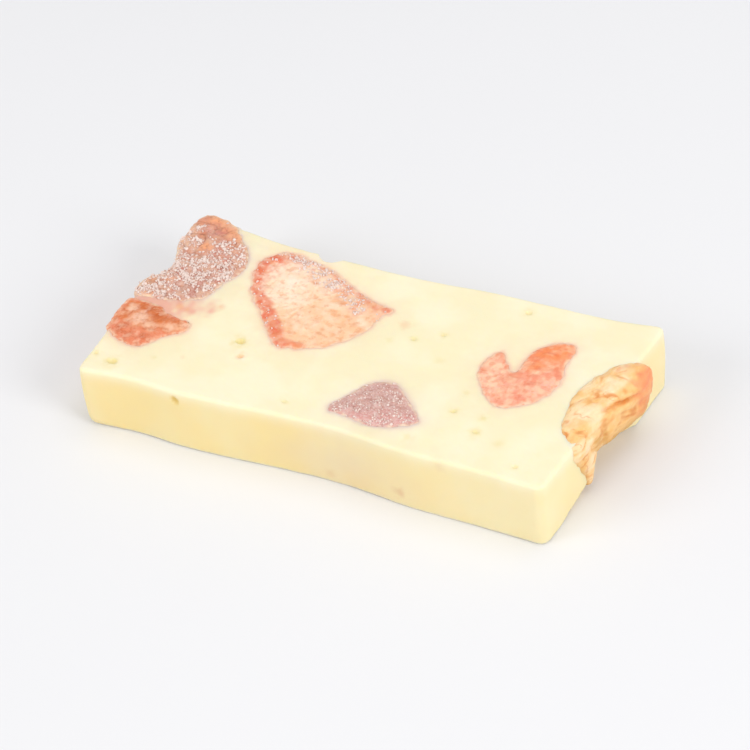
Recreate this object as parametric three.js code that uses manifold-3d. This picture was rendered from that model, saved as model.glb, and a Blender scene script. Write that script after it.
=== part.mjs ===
// A bar of soft cream-white nougat, knife-cut from a slab, with pieces of dried strawberry and
// cranberry that the cut runs through. Millimetres, +Z up. The bar lies on one broad cut face:
// X runs along it and Y across it. The outlines below share one plan, looking down on the bar, and
// the finished group is moved so that its origin is the middle of its underside.

import * as THREE from "three";
import { mergeVertices } from "three/addons/utils/BufferGeometryUtils.js";
import Module from "manifold-3d";

const wasm = await Module();
wasm.setup();

// ---------------------------------------------------------------- driving dimensions

const THICK = 9.6; // of the bar, between its two broad faces
const GAP = 0.3; // kept clear round each piece of fruit
const CORNER = 1.3; // how far from a corner of the plan its rounding starts
const CORNER_STEPS = 3;
const PLAN_STEP = 2.2; // spacing of points along the bar's edges

// The plan of the bar: four soft, slightly wavy edges, corner to corner. The right end is cut
// slanting, and the back edge is hollow where the knife wandered.
const PLAN = {
  front: [
    [-32.6, -17.1], [-25.6, -16.3], [-18, -16.6], [-3, -15.8],
    [4, -15.7], [14, -16.5], [25, -16.6], [32.5, -16.9],
  ],
  right: [[32.5, -16.9], [33.5, -5], [34.4, 7], [35.2, 16.2]],
  back: [
    [35.2, 16.2], [28, 15.4], [12, 15.4], [2, 14.8],
    [-9, 15], [-17, 15.2], [-24, 16.2], [-33, 17.6],
  ],
  left: [[-33, 17.6], [-33, 8], [-33.1, -4], [-32.6, -17.1]],
};

// How far the long edges are rounded, where the sides meet the upper face and the underside.
const ROUND = {
  front: { top: 0.5, foot: 0.35 },
  right: { top: 0.45, foot: 0.35 },
  back: { top: 0.45, foot: 0.5 },
  left: { top: 0.5, foot: 0.5 },
};

// The soft sides swell at mid-height, by more in some places than in others.
const BELLY = { out: 0.22, uneven: 0.25, length: 23 };

// The lower front left corner has slumped up from the surface that the bar lies on.
const SLUMP = { at: [-33, -17], high: 1.7, reach: 3.6, deep: 0.8 };

// A nick in the upper back edge.
const NICK = { x: -12.1, halfWidth: 1.9, deep: 1.2, high: 3.6 };

// Under the fruit at the right end the nougat has torn away. `rise` lists how high the tear
// reaches at each distance along the end from its front corner, `slope` is how far it runs in for
// each millimetre of height, and its surface is ragged by the share `ragged`.
const TORN = {
  rise: [
    [2.5, 0], [7.1, 0.9], [10.6, 1.7], [12.4, 4], [14.2, 4.8],
    [17, 5], [20, 3.3], [22.2, 1.4], [24.6, 0],
  ],
  slope: 0.86,
  ragged: 0.12,
  length: 2.9,
};

// Heights of the bar's rings, from the underside up.
const LEVELS = [0, 0.2, 0.55, 1.2, 2.2, 3.4, 4.5, 5.6, 7.2, 8.8, 9.25, 9.5, THICK];

// Fruit that runs through the bar from its upper face to its underside. `outline` is its edge on
// the upper face. `foot` places the same outline on the underside: stretched along X and Y and
// turned in degrees about its own middle, then moved. `dome` is how far it stands proud of the cut.
const FRUIT = {
  cranberry_corner: {
    colour: 0xc4988d,
    points: 42,
    dome: 0.4,
    outline: [
      [-33.4, 15.8], [-32.6, 17.5], [-30.6, 17.8], [-27.4, 16.4], [-24.7, 13.9], [-22.6, 11.2],
      [-21.9, 8.2], [-22.9, 5.4], [-23.6, 2], [-25.6, 0.2], [-28.4, -0.7], [-31, -1.1],
      [-33.4, -1.1], [-33.9, 0.6], [-33.2, 3], [-31.7, 5], [-31.9, 7.4], [-33, 9.8], [-33.4, 12.8],
    ],
    foot: { stretch: [0.84, 0.8], turn: 0, move: [-0.9, -0.9] },
  },
  strawberry_left: {
    colour: 0xcf5b45,
    points: 28,
    dome: 0.25,
    outline: [
      [-33.4, -2], [-30.9, -1.75], [-28.6, -2.2], [-26.4, -3.2], [-23.2, -3.9], [-22.9, -5.6],
      [-25.2, -7.7], [-26.6, -9.9], [-28.4, -10.6], [-31, -9.8], [-33.3, -8.2], [-33.6, -5],
    ],
    foot: { stretch: [0.8, 0.8], turn: 0, move: [-0.9, 0.2] },
  },
  strawberry_slice: {
    colour: 0xe8a98a,
    points: 48,
    dome: 0.15,
    outline: [
      [-20.5, 9], [-20.4, 11.6], [-19, 13.2], [-16.9, 13.8], [-14.2, 13.4], [-9.1, 11.5],
      [-3.7, 8.8], [-0.8, 8], [1, 7.3], [0, 5.6], [-0.9, 1.8], [-4.1, -2.2],
      [-8.4, -4], [-10.6, -4], [-14.7, 0.3], [-19.4, 5.9],
    ],
    foot: { stretch: [0.88, 0.8], turn: 9, move: [1.2, -0.7] },
  },
  cranberry_small: {
    colour: 0xb58084,
    points: 26,
    dome: 0.2,
    outline: [
      [1.6, -12.6], [2.9, -9.6], [4.6, -6.7], [7.4, -5.5], [9.6, -6.8],
      [12.4, -9.6], [13.6, -11.2], [11.3, -12.9], [8.4, -13.7], [4.4, -13.3],
    ],
    foot: { stretch: [1.05, 0.8], turn: -12, move: [-1.6, -1] },
  },
  strawberry_notched: {
    colour: 0xe0785c,
    points: 36,
    dome: 0.2,
    outline: [
      [16.6, -0.4], [16.4, 2.7], [17.7, 4.7], [19.2, 3], [20.6, 1.4], [21, 4.2], [21.9, 7],
      [24, 8.6], [26.3, 8.6], [26.3, 5.6], [26.9, 1], [25.8, -2.2], [22.8, -4.9], [20.9, -5],
      [18.4, -2.9],
    ],
    foot: { stretch: [0.9, 0.95], turn: 10, move: [-1, -0.4] },
  },
};

// Their layers: height above the underside, as a share of the bar's thickness plus a part of the
// dome plus a rise, and how far the layer is set outward. The fruit has dried back a little from
// the underside.
const FRUIT_LAYERS = [
  { share: 0, dome: 0, rise: 0.1, outward: -0.2 },
  { share: 0, dome: 0, rise: 0.4, outward: 0 },
  { share: 0.5, dome: 0, rise: 0, outward: 0 },
  { share: 1, dome: 0, rise: -0.1, outward: 0 },
  { share: 1, dome: 0.65, rise: 0, outward: -0.15 },
  { share: 1, dome: 1, rise: 0, outward: -0.5 },
];

// The strawberry at the right end is a slice folded over the upper edge, with a tail down the end.
// `sections` lists the fold's cross-sections from front to back: y, how far it reaches in over the
// upper face, how far it stands out beyond the end, and the heights of its underside and top.
const FOLD = {
  sections: [
    { y: -8.3, in: 1.3, out: 0.1, low: 6.8, high: 9.7 },
    { y: -6.6, in: 3.2, out: 0.4, low: 5.5, high: 9.9 },
    { y: -3.4, in: 4.5, out: 0.8, low: 4.3, high: 10 },
    { y: 0, in: 5.1, out: 1.35, low: 3.6, high: 10.1 },
    { y: 3.4, in: 4.6, out: 1.9, low: 3.1, high: 10.1 },
    { y: 6.2, in: 3.4, out: 2.2, low: 3, high: 10 },
    { y: 8.2, in: 1.8, out: 1.9, low: 4.1, high: 9.7 },
    { y: 9.3, in: 0.5, out: 1.2, low: 5.6, high: 8.8 },
  ],
  points: 20,
  squareness: 0.6,
  creases: { count: 5, deep: 0.05, twist: 0.5 },
};

// `sections` lists the tail's sections from tip to top: height, and its middle and half-width in Y.
const TAIL = {
  sections: [
    { z: 1.5, y: -5.7, half: 0.5 },
    { z: 2.8, y: -5.6, half: 1.2 },
    { z: 4.4, y: -5.4, half: 2.3 },
    { z: 6.2, y: -5.9, half: 2.7 },
    { z: 8, y: -7, half: 2.3 },
    { z: 9.3, y: -7.4, half: 1.6 },
  ],
  points: 10,
  in: 1.3,
  out: 0.4,
};

// Small pits left by air bubbles: middle, and half-sizes along X, Y and Z.
const PITS = [
  { at: [-28.9, -14.1, THICK], half: [0.8, 0.5, 0.3] },
  { at: [-15, -4.9, THICK], half: [0.7, 0.5, 0.3] },
  { at: [-13.6, -7.4, THICK], half: [0.5, 0.45, 0.25] },
  { at: [17.7, 13, THICK], half: [0.5, 0.45, 0.25] },
  { at: [-18.3, -16.75, 8.1], half: [0.5, 0.35, 0.45] },
];
const PIT_ROUND = 8;
const PIT_HIGH = 6;

const NOUGAT_COLOUR = 0xfdf6d8;
const END_COLOUR = 0xeeb287;
const NOUGAT_ROUGH = 0.55;
const FRUIT_ROUGH = 0.7;

// ---------------------------------------------------------------- outlines

const wave = (value, length, phase) => Math.sin((2 * Math.PI * value) / length + phase);

// A value read off a list of [place, value] pairs by straight lines, and 0 beyond its ends.
function graded(list, place) {
  for (let i = 1; i < list.length; i++) {
    const [[a, from], [b, to]] = [list[i - 1], list[i]];
    if (place >= a && place < b) return from + ((to - from) * (place - a)) / (b - a);
  }
  return 0;
}

function splineOf(points, closed) {
  const places = points.map(([x, y]) => new THREE.Vector3(x, y, 0));
  return new THREE.CatmullRomCurve3(places, closed, "centripetal");
}

// A closed outline as evenly spaced points, anticlockwise.
function outlineOf(points, count) {
  const spaced = splineOf(points, true).getSpacedPoints(count).slice(0, count);
  const ring = spaced.map((p) => new THREE.Vector2(p.x, p.y));
  return THREE.ShapeUtils.isClockWise(ring) ? ring.reverse() : ring;
}

// The outward direction at each point of an anticlockwise ring.
function normalsOf(ring) {
  return ring.map((_, i) => {
    const before = ring[(i + ring.length - 1) % ring.length];
    const after = ring[(i + 1) % ring.length];
    return new THREE.Vector2(after.y - before.y, before.x - after.x).normalize();
  });
}

function offset(ring, distance) {
  const normals = normalsOf(ring);
  return ring.map((p, i) => p.clone().addScaledVector(normals[i], distance));
}

function middleOf(ring) {
  return ring.reduce((sum, p) => sum.add(p), ring[0].clone().multiplyScalar(0)).divideScalar(ring.length);
}

// ---------------------------------------------------------------- solids

// A closed mesh through a stack of rings of as many points each. Each ring runs anticlockwise, seen
// from the end that the stack grows towards.
function loft(rings) {
  const count = rings[0].length;
  const index = [];
  for (let r = 0; r + 1 < rings.length; r++)
    for (let i = 0; i < count; i++) {
      const [a, b] = [r * count + i, r * count + ((i + 1) % count)];
      index.push(a, b, b + count, a, b + count, a + count);
    }
  const last = (rings.length - 1) * count;
  for (const [a, b, c] of filled(rings[0])) index.push(a, c, b);
  for (const [a, b, c] of filled(rings.at(-1))) index.push(last + a, last + b, last + c);
  const places = rings.flat().flatMap((p) => [p.x, p.y, p.z]);
  return new THREE.BufferGeometry()
    .setAttribute("position", new THREE.Float32BufferAttribute(places, 3))
    .setIndex(index);
}

// The triangles that fill a flat ring, found by drawing it in its own plane.
function filled(ring) {
  const middle = middleOf(ring);
  const arms = ring.map((p) => p.clone().sub(middle));
  const normal = new THREE.Vector3();
  arms.forEach((arm, i) => normal.add(arm.clone().cross(arms[(i + 1) % arms.length])));
  const u = arms[0].clone().normalize();
  const v = normal.normalize().cross(u);
  const flat = arms.map((arm) => new THREE.Vector2(arm.dot(u), arm.dot(v)));
  return THREE.ShapeUtils.triangulateShape(flat, []);
}

function solidFrom(geometry) {
  const bare = geometry.clone();
  bare.deleteAttribute("normal");
  bare.deleteAttribute("uv");
  const merged = mergeVertices(bare, 1e-4);
  return new wasm.Manifold(
    new wasm.Mesh({
      numProp: 3,
      vertProperties: new Float32Array(merged.attributes.position.array),
      triVerts: new Uint32Array(merged.index.array),
    }),
  );
}

// The largest of a solid's bodies, as a named mesh.
function meshFrom(solid, name, color, roughness) {
  const whole = solid.decompose().sort((a, b) => b.volume() - a.volume())[0];
  const { vertProperties, triVerts } = whole.getMesh();
  const geometry = new THREE.BufferGeometry()
    .setAttribute("position", new THREE.BufferAttribute(vertProperties, 3))
    .setIndex(new THREE.BufferAttribute(triVerts, 1));
  geometry.computeVertexNormals();
  const material = new THREE.MeshStandardMaterial({ color, roughness, metalness: 0 });
  const mesh = new THREE.Mesh(geometry, material);
  mesh.name = name;
  return mesh;
}

// ---------------------------------------------------------------- the nougat

// The rounded corner of the plan between two edges, without its two end points.
function cornerPoints(here, there, from, corner, to) {
  const bend = new THREE.QuadraticBezierCurve3(from, corner, to);
  const points = [];
  for (let i = 1; i < CORNER_STEPS; i++) {
    const t = i / CORNER_STEPS;
    const mix = (a, b) => a + (b - a) * t;
    const round = { top: mix(here.top, there.top), foot: mix(here.foot, there.foot) };
    points.push({ at: bend.getPoint(t), edge: "corner", along: 0, round });
  }
  return points;
}

// The bar's plan: every point, with the edge that it belongs to and its distance along that edge.
function planPoints() {
  const edges = Object.keys(PLAN);
  const curves = edges.map((edge) => splineOf(PLAN[edge], false));
  return curves.flatMap((curve, e) => {
    const edge = edges[e];
    const nextEdge = edges[(e + 1) % edges.length];
    const next = curves[(e + 1) % edges.length];
    const length = curve.getLength();
    const straight = length - 2 * CORNER;
    const steps = Math.round(straight / PLAN_STEP);
    const points = [];
    for (let i = 0; i <= steps; i++) {
      const along = CORNER + (straight * i) / steps;
      points.push({ at: curve.getPointAt(along / length), edge, along, round: ROUND[edge] });
    }
    const to = next.getPointAt(CORNER / next.getLength());
    const corner = cornerPoints(ROUND[edge], ROUND[nextEdge], points.at(-1).at, curve.getPointAt(1), to);
    return [...points, ...corner];
  });
}

// How far a quarter-round edge has drawn in at `rise` above its start.
function drawnIn(rise, high, reach) {
  return rise <= 0 ? 0 : reach * (1 - Math.sqrt(Math.max(0, 1 - (rise / high) ** 2)));
}

// How far the side lies inside the plan at one of its points and a height.
function inset({ at, edge, along, round }, z) {
  const away = Math.hypot(at.x - SLUMP.at[0], at.y - SLUMP.at[1]);
  const slump = Math.exp(-((away / SLUMP.reach) ** 2));
  const footHigh = round.foot + (SLUMP.high - round.foot) * slump;
  const footReach = round.foot + (SLUMP.deep - round.foot) * slump;
  const uneven = 1 - BELLY.uneven + BELLY.uneven * wave(at.x + at.y, BELLY.length, 1);
  let inward = -BELLY.out * uneven * Math.sin((Math.PI * z) / THICK);
  inward += drawnIn(z - (THICK - round.top), round.top, round.top);
  inward += drawnIn(footHigh - z, footHigh, footReach);
  if (edge === "back") {
    const near = Math.max(0, 1 - ((at.x - NICK.x) / NICK.halfWidth) ** 2);
    inward += NICK.deep * near * Math.max(0, 1 - (THICK - z) / NICK.high);
  }
  if (edge === "right") {
    const torn = Math.max(0, graded(TORN.rise, along) - z);
    inward += TORN.slope * torn * (1 + TORN.ragged * wave(along, TORN.length, z));
  }
  return inward;
}

function nougatBody() {
  const plan = planPoints();
  const ring = plan.map(({ at }) => new THREE.Vector2(at.x, at.y));
  const normals = normalsOf(ring);
  const rings = LEVELS.map((z) =>
    ring.map((p, i) => {
      const place = p.clone().addScaledVector(normals[i], -inset(plan[i], z));
      return new THREE.Vector3(place.x, place.y, z);
    }),
  );
  return solidFrom(loft(rings));
}

function pit({ at, half }) {
  return solidFrom(new THREE.SphereGeometry(1, PIT_ROUND, PIT_HIGH).scale(...half).translate(...at));
}

// ---------------------------------------------------------------- the fruit that runs through

// The fruit's outline at a height, set outward by `wider`. It passes from `outline` at the upper
// face to `foot` at the underside.
function fruitRing({ outline, points, foot }, z, wider) {
  const ring = outlineOf(outline, points);
  const middle = middleOf(ring);
  const share = THREE.MathUtils.clamp(1 - z / THICK, 0, 1);
  const moved = middle.clone().addScaledVector(new THREE.Vector2(...foot.move), share);
  const placed = ring.map((p) => {
    const arm = p.clone().sub(middle);
    const low = arm.clone().multiply(new THREE.Vector2(...foot.stretch));
    low.rotateAround(new THREE.Vector2(), THREE.MathUtils.degToRad(foot.turn));
    return arm.lerp(low, share).add(moved);
  });
  return offset(placed, wider).map((p) => new THREE.Vector3(p.x, p.y, z));
}

function fruitSolid(fruit) {
  const rings = FRUIT_LAYERS.map((layer) => {
    const z = THICK * layer.share + fruit.dome * layer.dome + layer.rise;
    return fruitRing(fruit, z, layer.outward);
  });
  return solidFrom(loft(rings));
}

// The hole that the fruit sits in, past both faces of the bar.
function fruitPocket(fruit) {
  const heights = [-1, 0, THICK * 0.5, THICK, THICK + 1];
  return solidFrom(loft(heights.map((z) => fruitRing(fruit, z, GAP))));
}

// ---------------------------------------------------------------- the fruit at the right end

// Where the bar's right end lies at a place across the bar.
function endAt(y) {
  const [x0, y0] = PLAN.right[0];
  const [x1, y1] = PLAN.right.at(-1);
  return x0 + ((x1 - x0) * (y - y0)) / (y1 - y0);
}

// A ring of points round an oval, anticlockwise. `squareness` under 1 makes it a rounded oblong.
function ovalRing(points, middle, half, squareness, swell) {
  const squared = (value) => Math.sign(value) * Math.abs(value) ** squareness;
  const ring = [];
  for (let i = 0; i < points; i++) {
    const turn = (2 * Math.PI * i) / points;
    const arm = new THREE.Vector2(half.x * squared(Math.cos(turn)), half.y * squared(Math.sin(turn)));
    ring.push(arm.multiplyScalar(swell(turn)).add(middle));
  }
  return ring;
}

// One cross-section of the fold, with creases round it, `wider` all round.
function foldRing(section, place, wider) {
  const [left, right] = [endAt(section.y) - section.in, endAt(section.y) + section.out];
  const middle = new THREE.Vector2((left + right) / 2, (section.low + section.high) / 2);
  const half = new THREE.Vector2((right - left) / 2, (section.high - section.low) / 2);
  const { count, deep, twist } = FOLD.creases;
  const swell = (turn) => 1 + deep * Math.sin(count * turn + section.y * twist);
  const ring = ovalRing(FOLD.points, middle, half, FOLD.squareness, swell);
  return offset(ring, wider).map((p) => new THREE.Vector3(p.x, place, p.y));
}

// One section of the tail, a flat oval that lies in the end of the bar.
function tailRing({ y, half }, place, wider) {
  const middle = new THREE.Vector2(endAt(y) + (TAIL.out - TAIL.in) / 2, y);
  const size = new THREE.Vector2((TAIL.out + TAIL.in) / 2, half);
  const ring = ovalRing(TAIL.points, middle, size, 1, () => 1);
  return offset(ring, wider).map((p) => new THREE.Vector3(p.x, p.y, place));
}

function endFruit(wider) {
  const stacked = ({ sections }, along, ringOf) =>
    sections.map((section, i) => {
      const beyond = i === 0 ? -wider : i === sections.length - 1 ? wider : 0;
      return ringOf(section, section[along] + beyond, wider);
    });
  const fold = solidFrom(loft(stacked(FOLD, "y", foldRing).reverse()));
  const tail = solidFrom(loft(stacked(TAIL, "z", tailRing)));
  return fold.add(tail);
}

// ---------------------------------------------------------------- the bar

function buildBar() {
  const bar = new THREE.Group();
  let nougat = nougatBody();
  for (const [name, fruit] of Object.entries(FRUIT)) {
    nougat = nougat.subtract(fruitPocket(fruit));
    bar.add(meshFrom(fruitSolid(fruit), name, fruit.colour, FRUIT_ROUGH));
  }
  nougat = nougat.subtract(endFruit(GAP));
  bar.add(meshFrom(endFruit(0), "strawberry_end", END_COLOUR, FRUIT_ROUGH));
  for (const place of PITS) nougat = nougat.subtract(pit(place));
  bar.add(meshFrom(nougat, "nougat", NOUGAT_COLOUR, NOUGAT_ROUGH));
  return bar;
}

const bar = buildBar();
const middle = new THREE.Box3().setFromObject(bar).getCenter(new THREE.Vector3());
bar.position.set(-middle.x, -middle.y, 0);

export default bar;
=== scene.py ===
"""A bar of cream-white nougat with dried strawberry and cranberry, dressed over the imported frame.

Shapes are worked out in millimetres in the bar's own plan: X along it, Y across it, Z up from its
underside. They are moved into the frame, in metres, when each mesh is made."""

import math
from itertools import combinations

import bpy
import numpy as np
from mathutils import Matrix, Vector
from mathutils.geometry import delaunay_2d_cdt


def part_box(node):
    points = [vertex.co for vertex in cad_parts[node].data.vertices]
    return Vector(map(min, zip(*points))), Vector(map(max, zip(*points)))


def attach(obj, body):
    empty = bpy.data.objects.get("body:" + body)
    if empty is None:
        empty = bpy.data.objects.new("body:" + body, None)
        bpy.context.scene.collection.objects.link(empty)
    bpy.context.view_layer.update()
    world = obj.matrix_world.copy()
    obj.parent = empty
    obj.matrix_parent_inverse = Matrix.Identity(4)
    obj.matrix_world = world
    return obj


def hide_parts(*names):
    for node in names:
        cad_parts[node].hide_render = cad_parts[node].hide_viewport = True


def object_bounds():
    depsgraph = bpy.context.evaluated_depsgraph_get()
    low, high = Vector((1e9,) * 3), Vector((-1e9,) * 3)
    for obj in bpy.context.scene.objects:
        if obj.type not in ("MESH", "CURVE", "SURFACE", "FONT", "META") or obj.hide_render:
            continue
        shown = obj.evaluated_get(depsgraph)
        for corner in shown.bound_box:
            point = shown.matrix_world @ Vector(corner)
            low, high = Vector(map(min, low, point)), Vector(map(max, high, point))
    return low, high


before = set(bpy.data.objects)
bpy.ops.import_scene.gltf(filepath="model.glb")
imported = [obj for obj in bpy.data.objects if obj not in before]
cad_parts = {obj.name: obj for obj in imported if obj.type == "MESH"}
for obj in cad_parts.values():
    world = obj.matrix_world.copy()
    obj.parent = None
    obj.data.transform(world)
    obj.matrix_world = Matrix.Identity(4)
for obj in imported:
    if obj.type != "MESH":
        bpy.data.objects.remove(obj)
CAD_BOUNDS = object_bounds()

# ---------------------------------------------------------------- driving dimensions, mm

THICK = 9.6  # of the bar, between its two broad faces
HIGHEST = CAD_BOUNDS[1][2] * 1000
CORNER = 1.3  # how far from a corner of the plan its rounding starts
FINE = 0.32  # spacing of the nougat's points
SEAM_FINE = 0.2  # spacing of the points along a fruit's outline
FRUIT_FINE = 0.17  # spacing of the points on the fruit's upper face
FOOT_FINE = 0.3  # and on its underside
CLEAR = 0.6  # a face's points keep this share of their spacing clear of its outline
LEVEL_STEP = 0.34  # between the rings of the nougat's sides
ROUNDED = 0.55  # the sides' rings are close together this near to the broad faces
ROUNDED_RINGS = 7  # as many of them
CLING = 0.05  # the nougat laps over the edge of the fruit by this much
SWAY = [(0.2, 1.05), (0.09, 0.5)]  # how far a seam strays sideways, and over what length
SWAY_REACH = 0.8  # the straying fades out this far from the seam
SWAY_SEED = 17  # the first of its seeds

# The plan of the bar: its four soft, slightly wavy edges, corner to corner.
PLAN = {
    "front": [
        (-32.6, -17.1), (-25.6, -16.3), (-18, -16.6), (-3, -15.8),
        (4, -15.7), (14, -16.5), (25, -16.6), (32.5, -16.9),
    ],
    "right": [(32.5, -16.9), (33.5, -5), (34.4, 7), (35.2, 16.2)],
    "back": [
        (35.2, 16.2), (28, 15.4), (12, 15.4), (2, 14.8),
        (-9, 15), (-17, 15.2), (-24, 16.2), (-33, 17.6),
    ],
    "left": [(-33, 17.6), (-33, 8), (-33.1, -4), (-32.6, -17.1)],
}
EDGES = list(PLAN)
ROUND_TOP = {"front": 0.5, "right": 0.45, "back": 0.45, "left": 0.5}
ROUND_FOOT = {"front": 0.35, "right": 0.35, "back": 0.5, "left": 0.5}
BELLY = {"out": 0.22, "uneven": 0.25, "length": 23}  # the soft swelling of the sides
SLUMP = {"at": (-33, -17), "high": 1.7, "reach": 3.6, "deep": 0.8}  # of the front left foot
NICK = {"x": -12.1, "half_width": 1.9, "deep": 1.2, "high": 3.6}  # in the upper back edge

# Under the fruit at the right end the nougat has torn away: how high the tear reaches at distances
# along the end. Below that limit it runs in by `slope` for each millimetre, and its crumb is at its
# roughest from `full` down.
TORN_RISE = [
    (2.5, 0), (7.1, 0.9), (10.6, 1.7), (12.4, 4), (14.2, 4.8),
    (17, 5), (20, 3.3), (22.2, 1.4), (24.6, 0),
]
TORN = {"slope": 0.86, "ragged": 0.12, "length": 2.9, "rough": 0.34, "full": 0.6, "sunk": 0.2}
# The torn surface's colour is painted shade, of the recess beneath the overhanging fold.
TORN_SHADE_SHOWS = (0.05, 0.6)  # its colour sets in between these depths below the limit
TORN_SHADE_INWARD = (5, 3.5)  # and ends between these distances from the bar's end

# Fruit that runs through the bar: its outline on the upper face, and how that is stretched, turned
# and moved on the underside.
FRUIT = {
    "cranberry_corner": {
        "dome": 0.3,
        "outline": [
            (-33.4, 15.8), (-32.6, 17.5), (-30.6, 17.8), (-27.4, 16.4), (-24.7, 13.9),
            (-22.6, 11.2), (-21.9, 8.2), (-22.9, 5.4), (-23.6, 2), (-25.6, 0.2), (-28.4, -0.7),
            (-31, -1.1), (-33.4, -1.1), (-33.9, 0.6), (-33.2, 3), (-31.7, 5), (-31.9, 7.4),
            (-33, 9.8), (-33.4, 12.8),
        ],
        "stretch": (0.84, 0.8), "turn": 0, "move": (-0.9, -0.9),
    },
    "strawberry_left": {
        "dome": 0.25,
        "outline": [
            (-33.4, -2), (-30.9, -1.75), (-28.6, -2.2), (-26.4, -3.2), (-23.2, -3.9),
            (-22.9, -5.6), (-25.2, -7.7), (-26.6, -9.9), (-28.4, -10.6), (-31, -9.8),
            (-33.3, -8.2), (-33.6, -5),
        ],
        "stretch": (0.8, 0.8), "turn": 0, "move": (-0.9, 0.2),
    },
    "strawberry_slice": {
        "dome": 0.12,
        "outline": [
            (-20.5, 9), (-20.4, 11.6), (-19, 13.2), (-16.9, 13.8), (-14.2, 13.4), (-9.1, 11.5),
            (-3.7, 8.8), (-0.8, 8), (1, 7.3), (0, 5.6), (-0.9, 1.8), (-4.1, -2.2), (-8.4, -4),
            (-10.6, -4), (-14.7, 0.3), (-19.4, 5.9),
        ],
        "stretch": (0.88, 0.8), "turn": 9, "move": (1.2, -0.7),
    },
    "cranberry_small": {
        "dome": 0.16,
        "outline": [
            (1.6, -12.6), (2.9, -9.6), (4.6, -6.7), (7.4, -5.5), (9.6, -6.8), (12.4, -9.6),
            (13.6, -11.2), (11.3, -12.9), (8.4, -13.7), (4.4, -13.3),
        ],
        "stretch": (1.05, 0.8), "turn": -12, "move": (-1.6, -1),
    },
    "strawberry_notched": {
        "dome": 0.18,
        "outline": [
            (16.6, -0.4), (16.4, 2.7), (17.7, 4.7), (19.2, 3), (20.6, 1.4), (21, 4.2),
            (21.9, 7), (24, 8.6), (26.3, 8.6), (26.3, 5.6), (26.9, 1), (25.8, -2.2),
            (22.8, -4.9), (20.9, -5), (18.4, -2.9),
        ],
        "stretch": (0.9, 0.95), "turn": 10, "move": (-1, -0.4),
    },
}

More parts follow.
